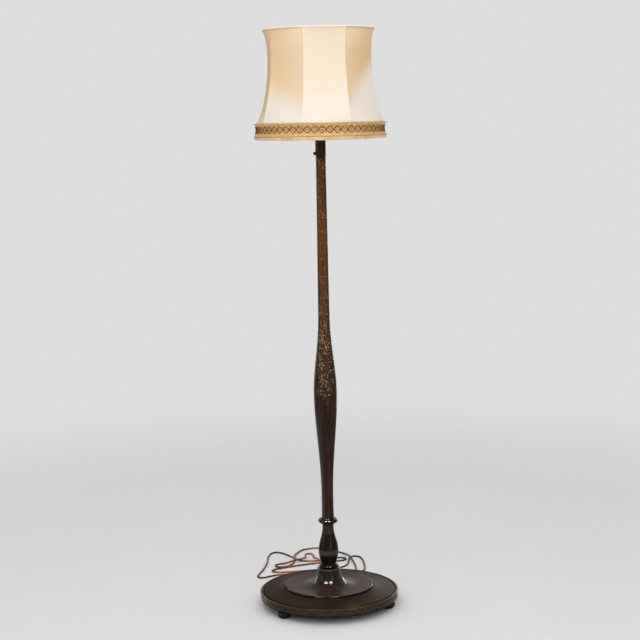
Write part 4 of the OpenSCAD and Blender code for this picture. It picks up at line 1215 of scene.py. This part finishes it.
class LAMP_OT_column(Operator):
    """Turn the vase, the collar ring and the long shaft"""
    bl_idname = "floor_lamp.column"
    bl_label = "Column"

    def execute(self, context):
        tones = context.scene.lamp_colours
        turned("turned_vase", vase_outline(), VASE_Z, vase_lacquer("vase_lacquer", tones),
               ["vase"])
        turned("turned_collar", collar_outline(), COLLAR_Z,
               ebony_lacquer("collar_gloss", tones.ebony), ["collar_ring"])
        turned("turned_shaft", shaft_outline(), SHAFT_Z, column_wood("shaft_walnut", tones),
               ["shaft"], steps=128)
        return {"FINISHED"}


class LAMP_OT_switch(Operator):
    """Make the bronzed switch housing"""
    bl_idname = "floor_lamp.switch"
    bl_label = "Switch housing"

    def execute(self, context):
        low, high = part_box("switch_housing")
        wall, bore, r = 0.0012, 0.0052, HOUSING_R
        outline = [(bore, low.z), (r - 0.0006, low.z), (r, low.z + 0.0006), (r, high.z - 0.0004),
                   (r - 0.0004, high.z), (r - wall, high.z), (r - wall, low.z + wall),
                   (bore, low.z + wall)]
        finish_piece("drawn_housing", spun(outline, 96), bronzed_tube("drawn_bronze"), STAND,
                     ["switch_housing"])
        return {"FINISHED"}


def bronzed_tube(name):
    """Dark bronzed tube with fine drawing lines along it."""
    fin = Finish(name, {"Metallic": 0.2, "Specular IOR Level": 0.06})
    lines = fin.noise(380, 3, 0.6, fin.mapped((1, 1, 0.03)))
    marks = fin.noise(50, 5, 0.6)
    fin.use("Base Color", fin.ramp(marks, [(0.35, tint("1a1009")), (0.7, tint("382513"))]))
    fin.rough(marks, 0.24, 0.38)
    fin.bump(lines, 0.0002, 0.35)
    return fin.material


# ------------------------------------------------------------------ shade

class LAMP_OT_cover(Operator):
    """Stretch the satin over the bell, panel by panel, and bind its top edge"""
    bl_idname = "floor_lamp.cover"
    bl_label = "Shade cover and piping"

    def execute(self, context):
        sizes, tones = context.scene.shade_sizes, context.scene.lamp_colours
        bm = bell_cloth(sizes, 0.0, 0.001, 1.0, 30, 60, pulled_wrinkles)
        cover = finish_piece("satin_cover", bm, cover_satin("panel_satin", tones), SHADE,
                             ["shade_cover"], crease=14)
        wrap_uv(cover.data, sizes.waist_radius)
        paint_tones(cover.data, sizes)
        thicken(cover, sizes.cloth)
        self.piping()
        return {"FINISHED"}

    def piping(self):
        """A bias-cut roll: its folds slant round it."""
        low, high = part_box("top_piping")
        r = (high.z - low.z) / 2
        bm = twisted_ring(high.x - r, (low.z + high.z) / 2, r - 0.0001, 400, 190, 0.08)
        cloth = plain_cloth("piping_satin", tint("fffbf2"), tint("f6e8cf"))
        return finish_piece("bias_piping", bm, cloth, SHADE, ["top_piping"],
                            crease=60)


class LAMP_OT_lining(Operator):
    """Hang the gathered lining inside the bell and the gallery, and roll its hem"""
    bl_idname = "floor_lamp.lining"
    bl_label = "Lining and hem"

    def execute(self, context):
        sizes, tones = context.scene.shade_sizes, context.scene.lamp_colours
        cloth = plain_cloth("peach_lining", tones.lining, darker(tones.lining, 0.86))
        self.bell(sizes, cloth)
        self.gallery(cloth, [self.roll(sizes), self.turned_edge(sizes)])
        return {"FINISHED"}

    def bell(self, sizes, cloth):
        low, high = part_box("shade_lining")

        def gathers(angle, t, u):
            wave = math.sin(angle * 180 + 0.8 * math.sin(angle * 7))
            return 0.0006 * wave * (0.5 + 0.5 * abs(2 * t - 1))

        bm = bell_cloth(sizes, 0.0072, (low.z - SHADE_Z) / COVER_H, (high.z - SHADE_Z) / COVER_H,
                        90, 20, gathers)
        lining = finish_piece("gathered_lining", bm, cloth, SHADE,
                              ["shade_lining"], crease=60)
        thicken(lining, 0.0005)

    def gallery(self, cloth, edges):
        low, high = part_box("gallery_lining")
        r = high.x - 0.0006
        steps = 8
        bm = spun([(r, low.z + (high.z - low.z) * i / steps) for i in range(steps + 1)], 720,
                  closed=False)
        for vert in bm.verts:
            angle = math.atan2(vert.co.y, vert.co.x)
            vert.co.xy *= 1 + 0.0005 * math.sin(angle * 150 + math.sin(angle * 9)) / r
        lining = finish_piece("gallery_gathers", bm, cloth, SHADE,
                              ["gallery_lining"], crease=60)
        thicken(lining, 0.0004)

    def roll(self, sizes):
        """The satin roll under the gallery, drawn a little lower at the front."""
        low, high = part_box("hem_roll")
        r, centre = (high.z - low.z) / 2, (low.z + high.z) / 2
        bm = twisted_ring(high.x - r, centre, r, 320, 70, 0.05)
        self.hang(bm, sizes, centre, 0.25)
        cloth = plain_cloth("hem_satin", tint("e8caa4"), tint("d6ac86"))
        return finish_piece("rolled_hem", bm, cloth, SHADE, ["hem_roll"], crease=60)

    def turned_edge(self, sizes):
        """The lining's turned edge, which hangs below the roll."""
        low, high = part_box("hem_roll")
        r, centre = (high.z - low.z) / 2, (low.z + high.z) / 2
        ring, drop = high.x - r, 0.0022
        outline = [(ring - 0.0018, centre - 0.001), (ring + 0.0016, centre - 0.001),
                   (ring + 0.0022, centre - r - drop * 0.6), (ring + 0.0012, centre - r - drop),
                   (ring - 0.0008, centre - r - drop), (ring - 0.0020, centre - r - drop * 0.5)]
        bm = spun(outline, 480)
        self.hang(bm, sizes, centre - 0.001, 1.0)
        cloth = plain_cloth("turned_edge", tint("efd0b6"), tint("d8a988"))
        return finish_piece("lining_edge", bm, cloth, SHADE, crease=60)

    def hang(self, bm, sizes, from_z, ruffle):
        """Lets a hem hang lower towards the front, in small uneven puckers."""
        for vert in bm.verts:
            angle = math.atan2(vert.co.y, vert.co.x)
            front = rise(-math.sin(angle + math.radians(6)), 0.1, 1.0)
            below = max(0.0, from_z - vert.co.z + 0.003) / 0.008
            pucker = noise.noise(Vector((math.cos(angle) * 26, math.sin(angle) * 26, 0.3)))
            vert.co.z -= sizes.hem_droop * front * min(1.0, below)
            vert.co.z += pucker * 0.0011 * ruffle * min(1.0, below)
            vert.co.xy *= 1 + 0.004 * ruffle * pucker * min(1.0, below)


def cove(sizes, s):
    """Radius of the gallery's outer skin at share s of its height: rim, hollow, rim."""
    return GALLERY_R - sizes.gallery_cove * max(0.0, math.sin(math.pi * s)) ** 0.8


class LAMP_OT_gallery(Operator):
    """Weave the gallery's braid: ribbed ground, interlaced strands, rosettes and corded edges"""
    bl_idname = "floor_lamp.gallery"
    bl_label = "Gallery braid"

    def execute(self, context):
        sizes, tones = context.scene.shade_sizes, context.scene.lamp_colours
        ground = self.ground(sizes, tones)
        strands = self.strands(sizes, tones)
        rosettes = self.rosettes(sizes)
        cords = self.corded_edges(sizes, tones)
        return {"FINISHED"}

    def ground(self, sizes, tones):
        high = GALLERY_TOP - GALLERY_Z
        steps = 28
        skin = [(cove(sizes, i / steps), GALLERY_Z + high * i / steps)
                for i in range(steps, -1, -1)]
        cover_r = radius("shade_cover")
        outline = [(cover_r + 0.0006, GALLERY_TOP)] + skin + [(cover_r - 0.003, GALLERY_Z)]
        bm = spun(outline, 360, closed=False)
        # an open profile may come out inside out: its upper lip has to face up
        upper = [face for face in bm.faces if face.calc_center_median().z > GALLERY_TOP - 1e-5]
        if any(face.normal.z < 0 for face in upper):
            bmesh.ops.reverse_faces(bm, faces=bm.faces)
        piece = finish_piece("braid_ground", bm, braid_ground("gold_braid", tones), SHADE,
                             ["gallery_band"], crease=40)
        wrap_uv(piece.data, GALLERY_R)
        thicken(piece, 0.0011)
        return piece

    def band_point(self, sizes, angle, up, proud):
        """A point on the band, up from its middle and standing proud of it."""
        high = GALLERY_TOP - GALLERY_Z
        r = cove(sizes, 0.5 + up / high) + proud
        return Vector((r * math.cos(angle), r * math.sin(angle), GALLERY_Z + high / 2 + up))

    def strands(self, sizes, tones):
        """One strand that goes twice round, crossing itself over and under at every eye."""
        reach, per_eye, thick, point = 0.0086, 12, 0.0022, 0.9
        count = 2 * sizes.eyes * per_eye
        points = []
        for i in range(count):
            angle = 2 * math.tau * i / count
            wave = math.sin(sizes.eyes / 2 * angle)
            up = reach * math.asin(point * wave) / math.asin(point)
            over = math.cos(sizes.eyes / 2 * angle)
            points.append(self.band_point(sizes, angle, up, 0.0005 + 0.0005 * over))
        cloth = thread("russet_thread", tones.russet, tint("96582a"))
        return tube_curve("interlaced_strand", points, thick, cloth, SHADE, sides=1,
                          closed=True)

    def rosettes(self, sizes):
        """A dotted rosette in each eye and a dot above and below each crossing."""
        bm = bmesh.new()
        pitch = math.tau / sizes.eyes
        for eye in range(sizes.eyes):
            angle = pitch * (eye + 0.5)
            out = (math.cos(angle), math.sin(angle), 0)
            bead_ring(bm, self.band_point(sizes, angle, 0, 0.0002), 0.0012, 0.6, out)
            for dot in range(8):
                turn = math.tau * dot / 8
                side = angle + 0.0036 * math.cos(turn) / GALLERY_R
                place = self.band_point(sizes, side, 0.0036 * math.sin(turn), 0.0002)
                bead_ring(bm, place, 0.0009, 0.6, out)
            for up in (-0.0082, 0.0082):
                place = self.band_point(sizes, pitch * eye, up, 0.0001)
                bead_ring(bm, place, 0.0010, 0.6, out)
        # the rosettes get painted shade towards the lamp's left and right
        cloth = thread("rosette_thread", tint("a35826"), tint("d48f4c"), sides=0.8)
        return finish_piece("rosettes", bm, cloth, SHADE, crease=60)

    def corded_edges(self, sizes, tones):
        """The corded borders of the braid: a twisted cord along each rim and a fine one inside."""
        parts = bmesh.new()
        half = (GALLERY_TOP - GALLERY_Z) / 2
        rim, thick_cord, inner, fine_cord = half - 0.0014, 0.0014, 0.0112, 0.0008
        for up, thick in ((rim, thick_cord), (inner, fine_cord), (-inner, fine_cord),
                          (-rim, thick_cord)):
            middle_r = cove(sizes, 0.5 + up / 2 / half) - thick * 0.3
            join_in(parts, twisted_ring(middle_r, half + GALLERY_Z + up, thick, 720, 240, 0.2, 8))
        cloth = thread("gold_cord", darker(tones.gold, 1.1), tint("ecd49a"), 0.35)
        return finish_piece("corded_edges", parts, cloth, SHADE, crease=60)


# ------------------------------------------------------------------ add-on

class LAMP_PT_pieces(Panel):
    """Lists the lamp's pieces and their sizes and colours"""
    bl_label = "Floor lamp"
    bl_idname = "LAMP_PT_pieces"
    bl_space_type = "VIEW_3D"
    bl_region_type = "UI"
    bl_category = "Floor Lamp"

    def draw(self, context):
        for step in STEPS:
            self.layout.operator(step.bl_idname)
        for group, kind in GROUPS.items():
            box = self.layout.box()
            for name in kind.__annotations__:
                box.prop(getattr(context.scene, group), name)


STEPS = (LAMP_OT_stage, LAMP_OT_mains_lead, LAMP_OT_foot, LAMP_OT_column, LAMP_OT_switch,
         LAMP_OT_cover, LAMP_OT_lining, LAMP_OT_gallery)
GROUPS = {
    "shade_sizes": ShadeSizes,
    "lead_sizes": LeadSizes,
    "lamp_colours": LampColours,
    "stage_settings": StageSettings,
}


def register():
    for kind in (*GROUPS.values(), *STEPS, LAMP_PT_pieces):
        bpy.utils.register_class(kind)
    for name, kind in GROUPS.items():
        setattr(bpy.types.Scene, name, PointerProperty(type=kind))


def unregister():
    for name in GROUPS:
        delattr(bpy.types.Scene, name)
    for kind in reversed((*GROUPS.values(), *STEPS, LAMP_PT_pieces)):
        bpy.utils.unregister_class(kind)


def main():
    register()
    finish_frame_nodes()
    for step in STEPS:
        getattr(bpy.ops.floor_lamp, step.bl_idname.split(".")[1])()


if __name__ == "__main__":
    main()
